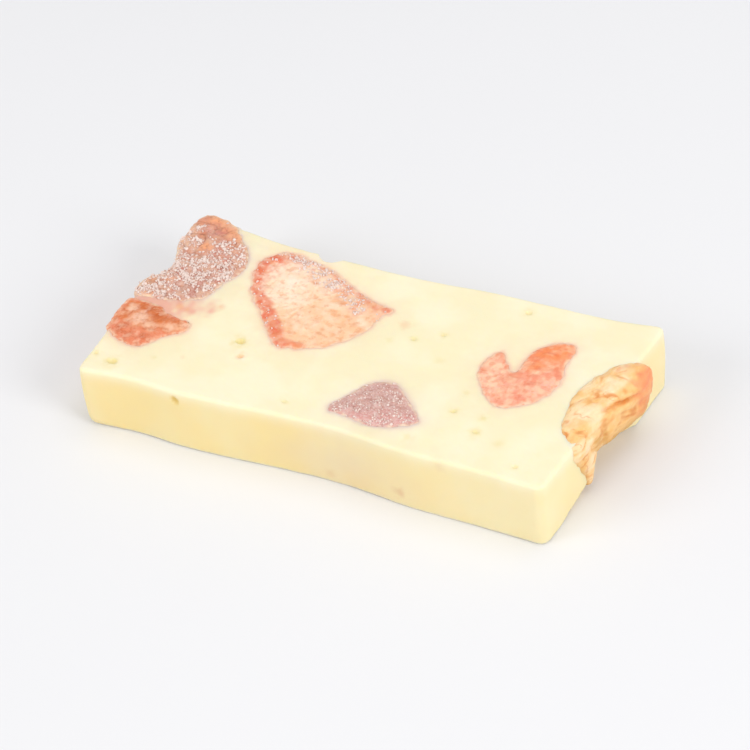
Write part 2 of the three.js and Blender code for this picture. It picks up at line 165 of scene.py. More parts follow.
# Patches of colour on the cut fruit: place on the upper face, radius and strength.
TOUCHES = {
    "cranberry_corner": {
        "warm": [
            (-32.2, 15.6, 1.4, 1), (-30.6, 16.8, 1.4, 1), (-28, 16.8, 1.3, 0.9),
            (-31, 13.4, 1, 0.8), (-29, 11, 1.3, 1), (-31.4, -0.9, 1, 1),
            (-32.4, 2.2, 0.8, 0.7), (-30, 3, 0.8, 0.6),
        ],
        "rim": [
            (-28.6, 14.2, 1.1, 0.8), (-26.6, 12.4, 1, 0.7), (-24.8, 9.2, 1.1, 0.8),
            (-27.2, 10.2, 0.6, 0.6), (-27, -0.1, 0.8, 0.6), (-30.4, 0.2, 0.6, 0.6),
            (-25.9, 7.4, 0.7, 0.6),
        ],
        "pale": [
            (-31.5, 10.5, 1.2, 0.9), (-23.3, 6.2, 0.8, 0.6), (-33, 1.6, 0.9, 0.7),
            (-30, 7.1, 0.9, 0.5),
        ],
        "dark": [
            (-25.2, 7.4, 0.6, 0.8), (-26.6, 6.2, 0.5, 0.7), (-23.8, 9.2, 0.5, 0.5),
            (-25.8, 2.2, 0.9, 0.7), (-32, 1.6, 0.9, 0.6), (-29.2, 5.2, 0.5, 0.6),
        ],
    },
    "strawberry_left": {
        "rim": [(-32.2, -6.9, 1.1, 0.9), (-27.4, -9.2, 1, 0.9), (-29.4, -9.2, 0.8, 0.8)],
        "pale": [
            (-29.8, -5.5, 1.5, 1), (-28, -6.3, 0.9, 0.9), (-31.9, -4.1, 1, 1),
            (-24.9, -5.6, 0.9, 0.9), (-23.4, -4.6, 0.8, 1), (-31.2, -6, 0.5, 0.7),
            (-27.3, -6.9, 0.9, 0.8), (-32.8, -5, 0.6, 0.6),
        ],
        "dark": [
            (-27.8, -4, 1.4, 1), (-29.4, -3.1, 1.3, 1), (-31.2, -7.4, 0.9, 0.9),
            (-27.4, -8.6, 0.8, 0.6), (-29.6, -8.6, 0.8, 0.6),
        ],
        "warm": [(-23.5, -4.9, 0.8, 1), (-30, -7.6, 0.9, 0.5)],
        "dust": [(-29.8, -5.5, 1.4, 1), (-31.9, -4.1, 0.9, 0.8), (-32.4, -7, 0.8, 0.5)],
    },
    "strawberry_slice": {
        "rim": [
            (-19.4, 8.6, 1.8, 1), (-18, 5.6, 1, 1), (-18.4, 12, 1.7, 1), (-16.4, 13, 1, 0.9),
            (-13.2, 0.2, 0.9, 0.9), (-10.8, -1.6, 0.7, 0.7), (-9.4, -3.4, 0.7, 0.7),
            (0.2, 7.2, 1.2, 1), (-1.4, 7, 0.8, 0.7), (-5, -2.6, 0.6, 0.5), (-15.6, 2.6, 0.9, 0.8),
        ],
        "dark": [
            (-6, 0.8, 0.4, 0.6), (-4.2, 0.4, 0.5, 0.6), (-2.5, 3.1, 0.5, 0.7),
            (-5.7, 6.4, 0.45, 0.7), (-9.6, 10.1, 0.5, 0.6), (-13.4, 4.7, 0.4, 0.5),
            (-7.1, 8.6, 0.4, 0.6), (-12.4, 0.7, 0.3, 0.7), (-10.2, 0, 0.3, 0.5),
        ],
        "pale": [
            (-14.2, 8, 2.2, 0.9), (-13.1, 10.4, 1.2, 0.6), (-3.2, 5.6, 1.1, 0.6),
            (-11.4, 5.2, 1.4, 0.6), (-7.4, 1.6, 1, 0.5),
        ],
        "dust": [(-6.8, 9.4, 1.3, 0.9), (-10.6, 11.2, 1.2, 0.9), (-3.4, 7.4, 1.1, 0.7)],
        "warm": [(-11.5, 10, 1, 0.9), (-17.2, 8.6, 0.8, 0.6)],
    },
    "cranberry_small": {
        "rim": [(10.2, -12, 1.4, 0.9), (12.5, -10.9, 1, 1), (5.7, -12.9, 0.5, 0.6)],
        "dark": [(5.4, -8.2, 0.7, 0.8), (7.2, -9.2, 0.5, 0.6), (3.6, -11.3, 0.7, 0.5)],
        "dust": [(7.1, -11.2, 0.9, 0.8), (8.3, -9.8, 1.4, 0.6), (3.4, -10.6, 0.8, 0.6)],
    },
    "strawberry_notched": {
        "warm": [(24.4, 7.4, 2.2, 1), (23.1, 5.8, 2, 1), (22.9, 3.6, 1.6, 1)],
        "pale": [
            (16.9, 1.9, 1, 0.9), (21, 0.2, 0.9, 0.7), (17.2, 3.8, 1, 1),
            (18.3, -0.6, 1.3, 1), (20.5, -2.7, 1, 0.9), (25.6, 0.8, 0.8, 0.6),
        ],
        "dust": [(25.9, 0.8, 1.5, 1), (24.6, -1.4, 1.1, 0.8), (19.4, -2.8, 0.8, 0.5)],
        "dark": [(23.1, 6.6, 0.4, 0.7), (22.8, 1.4, 0.4, 0.5), (21.4, -2.6, 0.5, 0.6)],
    },
}

# The folded slice at the right end: y, reach in over the upper face, reach beyond the end, and the
# heights of its underside and top. The tail: height, middle and half-width in y.
FOLD = [
    (-8.3, 1.3, 0.1, 6.8, 9.7), (-6.6, 3.2, 0.4, 5.5, 9.9), (-3.4, 4.5, 0.8, 4.3, 10),
    (0, 5.1, 1.35, 3.6, 10.1), (3.4, 4.6, 1.9, 3.1, 10.1), (6.2, 3.4, 2.2, 3, 10),
    (8.2, 1.8, 1.9, 4.1, 9.7), (9.3, 0.5, 1.2, 5.6, 8.8),
]
SQUARENESS = 0.6  # of the fold's section, where 1 is an ellipse and less is squarer
TAIL = [
    (1.5, -5.7, 0.5), (2.8, -5.6, 1.2), (4.4, -5.4, 2.3),
    (6.2, -5.9, 2.7), (8, -7, 2.3), (9.3, -7.4, 1.6),
]
TAIL_IN = 1.3  # how far the tail reaches into the bar's end
TAIL_OUT = 0.4  # and how far it stands out of it
END_CORE = {"fold": -0.2, "tail": 0.05}  # its wrinkles stand on a core that much larger
END_POCKET = {"fold": -0.26, "tail": 0}  # and this much of the nougat is cut away
END_FINE = 0.14  # spacing of its points
LAYER = {"high": 9.25, "fall": 0.27, "wide": 0.26, "deep": 0.4}  # the step between its two layers
# Patches of colour on the folded slice, among them painted shade and painted highlights: place,
# radius and strength.
END_TOUCHES = {
    "amber": [
        (31.9, -0.9, 10, 0.8, 0.9), (32.6, -0.4, 10, 0.8, 0.8), (33.6, -0.5, 10, 0.7, 0.8),
        (32.7, -5, 9.9, 1.1, 0.9), (30.5, -6.6, 9.8, 0.6, 1), (32.6, -7.6, 9.6, 1, 0.8),
        (35.1, 2.9, 9.6, 0.6, 0.9), (34.9, 1.4, 9.6, 0.5, 0.7), (33.6, -8.1, 7.8, 0.7, 0.7),
        (36.3, 4.7, 5.6, 1, 0.9), (36, 3.3, 6.2, 0.7, 0.6), (35.6, 2, 5.2, 0.8, 0.6),
    ],
    # painted shade in the creases
    "crease_shade": [
        (34.9, 0.1, 9.2, 0.5, 1), (35.4, 1.6, 8.9, 0.5, 0.9), (34.4, -1, 9.5, 0.5, 0.8),
        (35.9, 3.4, 8.4, 0.5, 0.8), (35.1, 2.9, 9.6, 0.4, 0.8), (32, -0.8, 10, 0.4, 0.6),
        (33.6, -5.6, 9.4, 0.4, 0.5), (30.4, -6.6, 9.8, 0.4, 0.7),
    ],
    "red": [
        (35.7, 6.5, 9.6, 0.7, 1), (36.4, 6, 8.4, 0.8, 0.7), (36.6, 5.9, 5.8, 1.1, 1),
        (33, 6.1, 10, 0.6, 0.5), (31.6, 4.6, 10, 0.5, 0.4), (33.6, 7.2, 10, 0.6, 0.5),
        (34.6, 8, 9.8, 0.6, 0.5), (36.2, 4, 5.1, 0.7, 0.5),
    ],
    # partly painted highlights on the fold's crests, partly its own pale flesh
    "pale": [
        (34.5, 4.9, 10, 1, 1), (33.4, 2.2, 10, 0.9, 0.9), (34.4, 3.4, 10, 0.7, 0.7),
        (33.4, -3.1, 9.8, 0.9, 0.4), (31.1, -3.9, 10, 1.2, 0.7), (30.5, -1, 10, 1, 0.6),
        (30.6, 2, 10, 0.9, 0.6), (30.6, -5.4, 10, 0.8, 0.4), (35.6, 1.4, 6.7, 0.7, 0.4),
        (33.8, -5, 4.9, 0.7, 0.7), (33.9, -4.6, 3.6, 0.6, 0.7), (33.5, -5.8, 2.6, 0.8, 0.5),
    ],
    # painted shade on the slice's underside
    "under": [
        (34.3, -3.8, 6.4, 1.2, 1), (34.6, -2.6, 6, 1.3, 1), (35, -0.8, 5, 1.3, 1),
        (35.6, 1.4, 4, 1.2, 0.9), (36.5, 5.6, 5.2, 0.9, 0.5),
    ],
}

# Pits left by air bubbles in the upper face: place, half-sizes and depth.
PITS = [
    (-28.9, -14.1, 0.8, 0.5, 0.3), (-15, -4.9, 0.7, 0.5, 0.3), (-13.6, -7.4, 0.5, 0.45, 0.25),
    (17.7, 13, 0.5, 0.45, 0.25), (-31.8, -13.3, 0.4, 0.3, 0.12), (6, 3.1, 0.45, 0.4, 0.12),
    (9.3, 5.1, 0.4, 0.35, 0.12), (16.7, -7.8, 0.45, 0.35, 0.12), (20.9, -10.3, 0.5, 0.35, 0.14),
    (27.9, -14.3, 0.4, 0.3, 0.12), (-4.1, -13.3, 0.4, 0.35, 0.1),
]
PIT_RINGS = (0.01, 0.25, 0.5, 0.75, 1, 1.25)  # rings of points in a pit, as shares of its size
PIT_POINTS = 22  # round its rim
PIT_CLEAR = 1.35  # the lattice of points ends at this share of its size
PIT_BLUNT = 0.8
# The pit in the front side slants by this many degrees, and its stain reaches past its rim.
FRONT_PIT = {"at": (-18.3, -16.6, 8.2), "slant": -50, "long": 0.8, "short": 0.5, "deep": 0.3}
FRONT_PIT_STAIN = 1.2

# Small stained specks in the upper face: place, radius and how strong.
SPECKS = {
    "olive": [
        (-28.9, -14.1, 0.9, 0.8), (-31.8, -13.3, 0.55, 0.5), (-24.1, -11.4, 0.4, 0.35),
        (-15, -4.9, 1, 0.85), (-4.1, -13.3, 0.55, 0.4), (17.7, 13, 0.7, 0.4), (6, 3.1, 0.5, 0.6),
        (9.3, 5.1, 0.5, 0.55), (16.7, -7.8, 0.6, 0.6), (16.8, -4.1, 0.5, 0.35),
        (20.9, -10.3, 0.75, 0.6), (20.7, -7.7, 0.5, 0.5), (27.9, -14.3, 0.6, 0.45),
        (10.9, 0.4, 0.55, 0.3), (3.1, 1.8, 0.5, 0.3), (13.4, -14, 0.7, 0.3),
        (24.4, -11.4, 0.6, 0.35),
    ],
    "rust": [
        (-13.6, -7.4, 0.6, 0.8), (3.6, 5.4, 0.9, 0.45),
        (-20.6, -10.2, 0.3, 0.3), (-26.2, -1.3, 0.6, 0.7), (-24.9, -1.5, 0.4, 0.5),
        (-20.9, 0.5, 0.5, 0.5),
    ],
}
# The outline of the pink smear between the large cranberry and the piece in front of it.
SMEAR = [
    (-33, -1.3), (-29, -0.4), (-26, 0.4), (-24.4, 1), (-22.3, 1.5), (-21.1, 0), (-22.1, -1.8),
    (-24.1, -2.8), (-26.6, -3.2), (-29, -2.2), (-33, -2),
]
# Stains low on the front side: place along it, height, radii along and up, and strength.
SMUDGES = [(5, 3.5, 9, 4.5, 0.55), (2.6, 1.6, 1.6, 0.8, 0.4)]
# Small brown spots on the front side: place, radius and strength.
FRONT_SPOTS = [
    (12.9, -16.4, 2.3, 0.8, 0.9), (2.7, -15.8, 1.5, 0.8, 0.5), (18.8, -16.5, 8.8, 0.9, 0.35),
]

# ---------------------------------------------------------------- numbers and noise

# Large odd numbers that scatter the cells of the noise.
SCATTER = (374761393, 668265263, 2246822519)
SCATTER_SEED = 3266489917
SCATTER_AGAIN = 1274126177

# Layers of noise are given as strength, size and seed.
TOUCH_EDGE = ((0.45, 0.55, 33), (0.25, 0.3, 34))
TOUCH_FALL = 1.3  # how steeply a touch fades out

PRESSED = 0.15  # heights are pressed together over this much under a limit


def smooth(low, high, value):
    """0 below low, 1 above high, and smooth between them."""
    share = np.clip((np.asarray(value, float) - low) / (high - low), 0, 1)
    return share * share * (3 - 2 * share)


def lattice(cells, seed):
    """A fixed scattered value from -1 to 1 for each whole-numbered cell."""
    value = np.uint32(seed * SCATTER_SEED % 2**32)
    for axis, factor in enumerate(SCATTER):
        value = value + cells[..., axis].astype(np.int64).astype(np.uint32) * np.uint32(factor)
    value = (value ^ (value >> np.uint32(13))) * np.uint32(SCATTER_AGAIN)
    value ^= value >> np.uint32(16)
    return (value & np.uint32(0xFFFF)) / 32767.5 - 1


def grain(points, size, seed):
    """Smooth noise from -1 to 1 at points of n x 3, with features about `size` long."""
    places = np.asarray(points, float) / size
    base = np.floor(places)
    part = places - base
    share = part * part * (3 - 2 * part)
    total = np.zeros(len(places))
    for corner in np.ndindex(2, 2, 2):
        weight = np.prod(np.where(corner, share, 1 - share), axis=1)
        total += weight * lattice(base + corner, seed)
    return total


def layered(points, *layers, base=0):
    """A base with layers of noise on it, each of a strength, a size and a seed."""
    return sum((strong * grain(points, size, seed) for strong, size, seed in layers), base)


def frayed(low, high, field, points, layer):
    """smooth() of a field, with contours that a layer of noise makes ragged."""
    return smooth(low, high, layered(points, layer, base=field))


def patches(low, high, points, size, seed):
    """Scattered patches: smooth() of noise."""
    return smooth(low, high, grain(points, size, seed))


def pillows(points, size, seed):
    """Noise from 0 to 1 with round crests and narrow creases, like skin that has shrunk."""
    return np.sqrt(np.abs(grain(points, size, seed)))


def strayed(points, reach, size, seed):
    """Places moved about by noise, so that what is drawn at them has no straight lines."""
    return points + reach * np.stack([grain(points, size, seed + i) for i in range(3)], axis=1)


def touched(places, touches):
    """The strength of a few ragged round patches at places of n x 2 or n x 3."""
    solid = np.column_stack([places, np.zeros(len(places))])[:, :3]
    ragged = layered(solid, *TOUCH_EDGE, base=1)
    strength = np.zeros(len(places))
    for *middle, radius, strong in touches:
        away = np.linalg.norm(places - middle, axis=1) / (radius * ragged)
        strength = np.maximum(strength, strong * np.exp(-(away**2) * TOUCH_FALL))
    return strength


def below_limit(heights, limit):
    """Heights pressed together just under a limit, and otherwise as they are."""
    start = limit - PRESSED
    pressed = start + PRESSED * np.tanh((heights - start) / PRESSED)
    return np.where(heights > start, pressed, heights)


# ---------------------------------------------------------------- outlines

LEAST = 1e-9  # keeps level steps of an outline from being divided by
BATCH = 4000  # points measured at once


def spline(points, closed, steps=14):
    """Points along the centripetal Catmull-Rom curve through the given ones."""
    places = np.array(points, float)
    count = len(places)
    if closed:
        places = np.concatenate([places[-1:], places, places[:2]])
    else:
        before, after = 2 * places[0] - places[1], 2 * places[-1] - places[-2]
        places = np.concatenate([[before], places, [after]])
    share = np.linspace(0, 1, steps, endpoint=False)[:, None]
    spans = []
    for i in range(count if closed else count - 1):
        a, b, c, d = places[i : i + 4]
        gaps = [math.sqrt(np.linalg.norm(q - p)) for p, q in ((a, b), (b, c), (c, d))]
        start = ((b - a) / gaps[0] - (c - a) / (gaps[0] + gaps[1]) + (c - b) / gaps[1]) * gaps[1]
        end = ((c - b) / gaps[1] - (d - b) / (gaps[1] + gaps[2]) + (d - c) / gaps[2]) * gaps[1]
        square = -3 * b + 3 * c - 2 * start - end
        cube = 2 * b - 2 * c + start + end
        spans.append(b + start * share + square * share**2 + cube * share**3)
    if not closed:
        spans.append(places[-2:-1])
    return np.concatenate(spans)


def along_curve(curve, distances):
    """Places on a polyline at distances along it."""
    travelled = np.concatenate([[0], np.cumsum(np.linalg.norm(np.diff(curve, axis=0), axis=1))])
    columns = [np.interp(distances, travelled, column) for column in curve.T]
    return np.stack(columns, axis=1)


def length_of(curve):
    return float(np.linalg.norm(np.diff(curve, axis=0), axis=1).sum())


def outline_of(points, spacing):
    """A closed outline as evenly spaced points, anticlockwise."""
    curve = spline(points, closed=True)
    curve = np.concatenate([curve, curve[:1]])
    count = round(length_of(curve) / spacing)
    ring = along_curve(curve, np.arange(count) * length_of(curve) / count)
    after = np.roll(ring, -1, axis=0)
    area = (ring[:, 0] * after[:, 1] - ring[:, 1] * after[:, 0]).sum()
    return ring if area > 0 else ring[::-1]


def normals_of(ring):
    """The outward direction at each point of an anticlockwise ring."""
    chord = np.roll(ring, -1, axis=0) - np.roll(ring, 1, axis=0)
    outward = np.stack([chord[:, 1], -chord[:, 0]], axis=1)
    return outward / np.linalg.norm(outward, axis=1, keepdims=True)


def offset(ring, distance):
    return ring + normals_of(ring) * distance


def to_ring(points, ring):
    """Each point's distance inside a closed ring, negative outside."""
    step = np.roll(ring, -1, axis=0) - ring
    length = np.hypot(*step.T)
    steep = np.where(np.abs(step[:, 1]) < LEAST, LEAST, step[:, 1])
    inward = np.empty(len(points))
    for first in range(0, len(points), BATCH):
        here = slice(first, first + BATCH)
        arm = points[here, None, :] - ring
        share = np.clip((arm * step).sum(-1) / length**2, 0, 1)
        gap = np.linalg.norm(arm - share[..., None] * step, axis=-1).min(axis=1)
        crosses = (arm[..., 1] < 0) != (arm[..., 1] < step[:, 1])
        left = arm[..., 0] < arm[..., 1] * step[:, 0] / steep
        inside = (crosses & left).sum(axis=1) % 2 == 1
        inward[here] = np.where(inside, gap, -gap)
    return inward


class Section:
    """A piece of fruit that runs through the bar: its ring at any height, and the way back from a
    point inside the bar to the same place on the upper face's outline."""

    def __init__(self, outline, stretch, turn, move, dome):
        self.ring = outline_of(outline, SEAM_FINE)
        self.middle = self.ring.mean(axis=0)
        angle = math.radians(turn)
        turned = np.array([[math.cos(angle), -math.sin(angle)], [math.sin(angle), math.cos(angle)]])
        self.low = turned @ np.diag(stretch)
        self.move = np.array(move)
        self.dome = dome

    def lean(self, heights):
        """How the outline is stretched and turned at these heights, and its middle there."""
        share = np.clip(1 - np.asarray(heights, float) / THICK, 0, 1)
        matrix = (1 - share)[..., None, None] * np.eye(2) + share[..., None, None] * self.low
        return matrix, self.middle + share[..., None] * self.move

    def at(self, height, wider=0.0):
        """The ring at a height, set outward by `wider`."""
        matrix, middle = self.lean(height)
        return offset((self.ring - self.middle) @ matrix.T + middle, wider)

    def home(self, points):
        """Where points inside the bar belong on the upper face."""
        matrix, middle = self.lean(points[:, 2])
        arms = (points[:, :2] - middle)[..., None]
        return (np.linalg.inv(matrix) @ arms)[..., 0] + self.middle

    def inward(self, points):
        return to_ring(self.home(points), self.ring)


SECTIONS = {name: Section(**facts) for name, facts in FRUIT.items()}


def swayed(points, away):
    """How far places near a seam stray sideways, alike in the fruit and in the nougat round it."""
    near = np.exp(-((away / SWAY_REACH) ** 2))
    moves = np.zeros((len(points), 3))
    for axis in (0, 1):
        for index, (far, size) in enumerate(SWAY):
            moves[:, axis] += far * grain(points, size, SWAY_SEED + axis + 2 * index)
    return moves * near[:, None]


# ---------------------------------------------------------------- meshes

FILL_INSIDE = 1  # the triangulation keeps what lies inside the outline
SAME_PLACE = 1e-6  # and joins points closer than this


def mesh_of(name, points, faces):
    """A new object in the scene, from points of n x 3 and lists of their numbers."""
    mesh = bpy.data.meshes.new(name)
    mesh.from_pydata(np.asarray(points, float).tolist(), [], faces)
    mesh.validate()
    made = bpy.data.objects.new(name, mesh)
    bpy.context.scene.collection.objects.link(made)
    return made


def read_points(made, attribute):
    """One of the attributes of a mesh's vertices, as n x 3."""
    flat = np.empty(len(made.data.vertices) * 3)
    made.data.vertices.foreach_get(attribute, flat)
    return flat.reshape(-1, 3)


def places_of(made):
    return read_points(made, "co")


def normals_at(made):
    return read_points(made, "normal")


def put_places(made, points):
    made.data.vertices.foreach_set("co", np.asarray(points, float).ravel())
    made.data.update()


def paint(made, name, values):
    """Keeps a number from 0 to 1 for each vertex, for the material to read."""
    layer = made.data.attributes.new(name, "FLOAT", "POINT")
    layer.data.foreach_set("value", np.clip(values, 0, 1).astype(np.float32))


def painted(made, name):
    """The numbers that paint() has kept."""
    values = np.empty(len(made.data.vertices))
    made.data.attributes[name].data.foreach_get("value", values)
    return values


def walls(rings):
    """The vertices and faces between rings of as many points each, stacked upwards."""
    count = len(rings[0])
    here = np.arange(count)
    after = np.roll(here, -1)
    faces = []
    for level in range(len(rings) - 1):
        low, high = level * count, (level + 1) * count
        quads = np.stack([low + here, low + after, high + after, high + here], axis=1)
        faces.extend(quads.tolist())
    return np.concatenate(rings), faces


def lattice_points(ring, spacing):
    """Staggered points inside a ring, a little clear of it."""
    low, high = ring.min(axis=0), ring.max(axis=0)
    rows = np.arange(low[1], high[1], spacing * math.sqrt(0.75))
    points = []
    for index, y in enumerate(rows):
        x = np.arange(low[0] + spacing * 0.5 * (index % 2), high[0], spacing)
        points.append(np.stack([x, np.full(len(x), y)], axis=1))
    points = np.concatenate(points)
    return points[to_ring(points, ring) > spacing * CLEAR]


def filled(ring, extra):
    """Triangles that fill a ring through extra points inside it. The ring's points come first."""
    points = np.concatenate([ring, extra])
    count = len(ring)
    edges = [(i, (i + 1) % count) for i in range(count)]
    flat = [Vector(p) for p in points.tolist()]
    places, _, faces, *_ = delaunay_2d_cdt(flat, edges, [], FILL_INSIDE, SAME_PLACE)
    if len(places) != len(points):
        raise ValueError("the outline crosses itself")
    return points, [list(face) for face in faces]


def closed_stack(name, rings, top_points, foot_points):
    """A closed mesh through level rings of n x 3 points, with fine flat ends."""
    points, faces = walls(rings)
    for ring, extra, upward in ((rings[0], foot_points, False), (rings[-1], top_points, True)):
        cap, triangles = filled(ring[:, :2], extra)
        inner = cap[len(ring) :]
        start = len(points)
        base = (len(rings) - 1) * len(ring) if upward else 0
        heights = np.full((len(inner), 1), ring[0, 2])
        points = np.concatenate([points, np.hstack([inner, heights])])
        for face in triangles:
            whole = [base + i if i < len(ring) else start + i - len(ring) for i in face]
            faces.append(whole if upward else whole[::-1])
    return mesh_of(name, points, faces)


def at_height(ring, height):
    return np.column_stack([ring, np.full(len(ring), float(height))])


def combine(made, others, operation):
    """Cuts other closed meshes out of one, or joins them to it, and removes them."""
    for other in others:
        step = made.modifiers.new("combine", "BOOLEAN")
        step.object = other
        step.operation = operation
        step.solver = "MANIFOLD"
    apply_modifiers(made)
    for other in others:
        bpy.data.objects.remove(other)
    return made


def apply_modifiers(made):
    """Puts what an object's modifiers make of its mesh in the mesh's place."""
    bpy.context.view_layer.update()
    ready = made.evaluated_get(bpy.context.evaluated_depsgraph_get())
    mesh = bpy.data.meshes.new_from_object(ready)
    made.modifiers.clear()
    made.data = mesh


# ---------------------------------------------------------------- the nougat

SIDE_SWELL = ((0.07, 7, 11), (0.03, 2.6, 12))
SIDE_DRAG = (0.02, 1.1, 13)
UPRIGHT = (1, 1, 0.25)  # draws noise out along Z
TORN_CRUMB = ((1, 1.5, 14), (0.55, 0.75, 15))
FACE_WAVES = ((0.07, 8, 21), (0.035, 3.1, 22))
FACE_GRAIN = (0.014, 1.2, 23)
FACE_DRAG = (0.01, 0.8, 24)
LENGTHWISE = (0.15, 1, 1)  # draws noise out along X
FACE_SUNK = 0.05
FACE_FADE = 1.4  # the broad faces' relief has faded out this far from them
FLAT = (0.9, 1)  # the shares of that relief between which a point counts as on the face
SEAM_CLEAR = 0.62  # the lattice of points ends this far from a fruit
SEAM_RINGS = ((0.1, 1), (0.28, 1), (0.48, 2))  # round it: the distance, and 2 for every other point
EDGE_CLEAR = 0.1
SAME_CELL = 0.06
PAST = 1  # cutters reach past the bar's faces by this much

# Colours that fruit juice, handling and air give to the nougat.
HALO_PATCHY = ((0.4, 1.6, 31), (0.3, 0.6, 35))
HALO_CLOSE = {"strong": 0.6, "reach": 0.3}
HALO_WIDE = {"strong": 0.38, "reach": 1.15}
SMEAR_SOFT = 0.8
SMEAR_EDGE = (0.6, 0.9, 32)
SMEAR_STRONG = 0.65
SMEAR_PATCHY = (0.45, 0.8, 37)
SMEAR_LEFT = {"strong": 0.6, "from": -25.6, "to": -27.6}  # it is stronger towards the left end
# The sides' painted shade, a deeper yellow for the shade and warm bounce light on them, sets in
# between these heights above and below the upper face. It ends near the underside, and it is paler
# towards the right end.
SIDE_SHADE = {"above": 0.1, "below": 2.4, "bend": 0.6, "foot": 0.75, "paler": 0.3, "by": 30}
FRONT_SIDE = (-14, -15.4)
SMUDGE_EDGE = (0.3, 2.2, 36)


def plan_points():
    """The bar's plan, with each point's edge, its distance along that edge, and its rounding."""
    curves = [spline(PLAN[edge], closed=False) for edge in EDGES]
    rows = []
    for index, curve in enumerate(curves):
        edge, next_edge = EDGES[index], EDGES[(index + 1) % len(EDGES)]
        following = curves[(index + 1) % len(EDGES)]
        reach = length_of(curve) - 2 * CORNER
        steps = round(reach / FINE)
        distances = CORNER + reach * np.arange(steps + 1) / steps
        for place, along in zip(along_curve(curve, distances), distances):
            rows.append((*place, index, along, ROUND_TOP[edge], ROUND_FOOT[edge]))
        start, corner = np.array(rows[-1][:2]), curve[-1]
        end = along_curve(following, [CORNER])[0]
        bends = round(2 * CORNER / FINE)
        for t in np.arange(1, bends) / bends:
            place = start * (1 - t) ** 2 + corner * 2 * t * (1 - t) + end * t**2
            top = ROUND_TOP[edge] * (1 - t) + ROUND_TOP[next_edge] * t
            foot = ROUND_FOOT[edge] * (1 - t) + ROUND_FOOT[next_edge] * t
            rows.append((*place, -1, 0, top, foot))
    return np.array(rows)


def drawn_in(rise, high, reach):
    """How far a quarter-round edge has drawn in at `rise` above its start."""
    share = np.clip(rise / high, 0, 1)
    return reach * (1 - np.sqrt(1 - share**2))


def torn_depth(along, height):
    """How far below the tear's upper limit a height is, at a distance along the right end."""
    places, rises = zip(*TORN_RISE)
    return np.maximum(0, np.interp(along, places, rises, left=0, right=0) - height)


def side_relief(points, torn):
    """How far the cut sides swell beyond the plain form."""
    rough = TORN["rough"] * np.minimum(1, torn / TORN["full"])
    crumb = rough * (layered(points, *TORN_CRUMB) - TORN["sunk"])
    return layered(points, *SIDE_SWELL) + layered(points * UPRIGHT, SIDE_DRAG) + crumb


def belly(x, y, height):
    """How far the side swells out, most at mid-height and more in some places than in others."""
    uneven = np.sin(2 * math.pi * (x + y) / BELLY["length"] + 1)
    uneven = 1 - BELLY["uneven"] + BELLY["uneven"] * uneven
    return BELLY["out"] * uneven * math.sin(math.pi * height / THICK)


def nick(x, edge, height):
    """How far the nick in the back edge goes in."""
    notch = np.maximum(0, 1 - ((x - NICK["x"]) / NICK["half_width"]) ** 2)
    notch = notch * max(0, 1 - (THICK - height) / NICK["high"])
    return np.where(edge == EDGES.index("back"), NICK["deep"] * notch, 0)


def side_ring(plan, height):
    """The bar's outline at a height."""
    x, y, edge, along, top, foot = plan.T
    near = np.exp(-((np.hypot(x - SLUMP["at"][0], y - SLUMP["at"][1]) / SLUMP["reach"]) ** 2))
    foot_high = foot + (SLUMP["high"] - foot) * near
    foot_reach = foot + (SLUMP["deep"] - foot) * near
    torn = np.where(edge == EDGES.index("right"), torn_depth(along, height), 0)
    wavy = 1 + TORN["ragged"] * np.sin(2 * math.pi * along / TORN["length"] + height)
    ring = plan[:, :2]
    inset = drawn_in(height - (THICK - top), top, top) - belly(x, y, height)
    inset = inset + drawn_in(foot_high - height, foot_high, foot_reach)
    inset = inset + nick(x, edge, height) + TORN["slope"] * torn * wavy
    inset = inset - side_relief(at_height(ring, height), torn)
    return at_height(ring - normals_of(ring) * inset[:, None], height)


def side_levels():
    """Heights of the side's rings, close together where the edges are rounded."""
    foot = ROUNDED * (1 - np.cos(np.linspace(0, math.pi / 2, ROUNDED_RINGS)))
    steps = round((THICK - 2 * ROUNDED) / LEVEL_STEP)
    middle = np.linspace(foot[-1], THICK - ROUNDED, steps + 1)
    return np.concatenate([foot[:-1], middle, (THICK - foot[:-1])[::-1]])


def face_points(ring, height):
    """Points for a broad face: a staggered lattice, with closer rings round the fruit and pits."""
    points = lattice_points(ring, FINE)
    close = []
    for section in SECTIONS.values():
        edge = section.at(height)
        points = points[to_ring(points, edge) < -SEAM_CLEAR]
        close += [offset(edge, away)[::every] for away, every in SEAM_RINGS]
    if height > 0:
        for *pit, _ in PITS:
            points = points[pit_share(points, *pit) > PIT_CLEAR]
            close += [pit_ring(*pit, share) for share in PIT_RINGS]
    close = np.concatenate(close)
    close = close[to_ring(close, ring) > EDGE_CLEAR]
    return thinned(np.concatenate([points, close]))


def pit_share(points, x, y, half_x, half_y):
    """Distance from the middle of an oval pit, 1 at its rim."""
    return np.hypot((points[:, 0] - x) / half_x, (points[:, 1] - y) / half_y)


def pit_ring(x, y, half_x, half_y, share):
    count = max(1, round(PIT_POINTS * share))
    turn = np.arange(count) * 2 * math.pi / count
    return np.stack([x + half_x * share * np.cos(turn), y + half_y * share * np.sin(turn)], axis=1)


def thinned(points):
    """Drops points that share a small cell with another."""
    cells = np.round(points / SAME_CELL).astype(int)
    _, first = np.unique(cells, axis=0, return_index=True)
    return points[np.sort(first)]


def face_relief(points):
    """The height of the upper face's waves and of the fine drag of the knife."""
    fine = layered(points, FACE_GRAIN) + layered(points * LENGTHWISE, FACE_DRAG)
    return layered(points, *FACE_WAVES) + fine - FACE_SUNK


def pit_depth(points):
    """How deep the pits are, at points on the upper face."""
    depth = np.zeros(len(points))
    for *pit, deep in PITS:
        depth += deep * np.clip(1 - pit_share(points, *pit) ** 2, 0, 1) ** PIT_BLUNT
    return depth


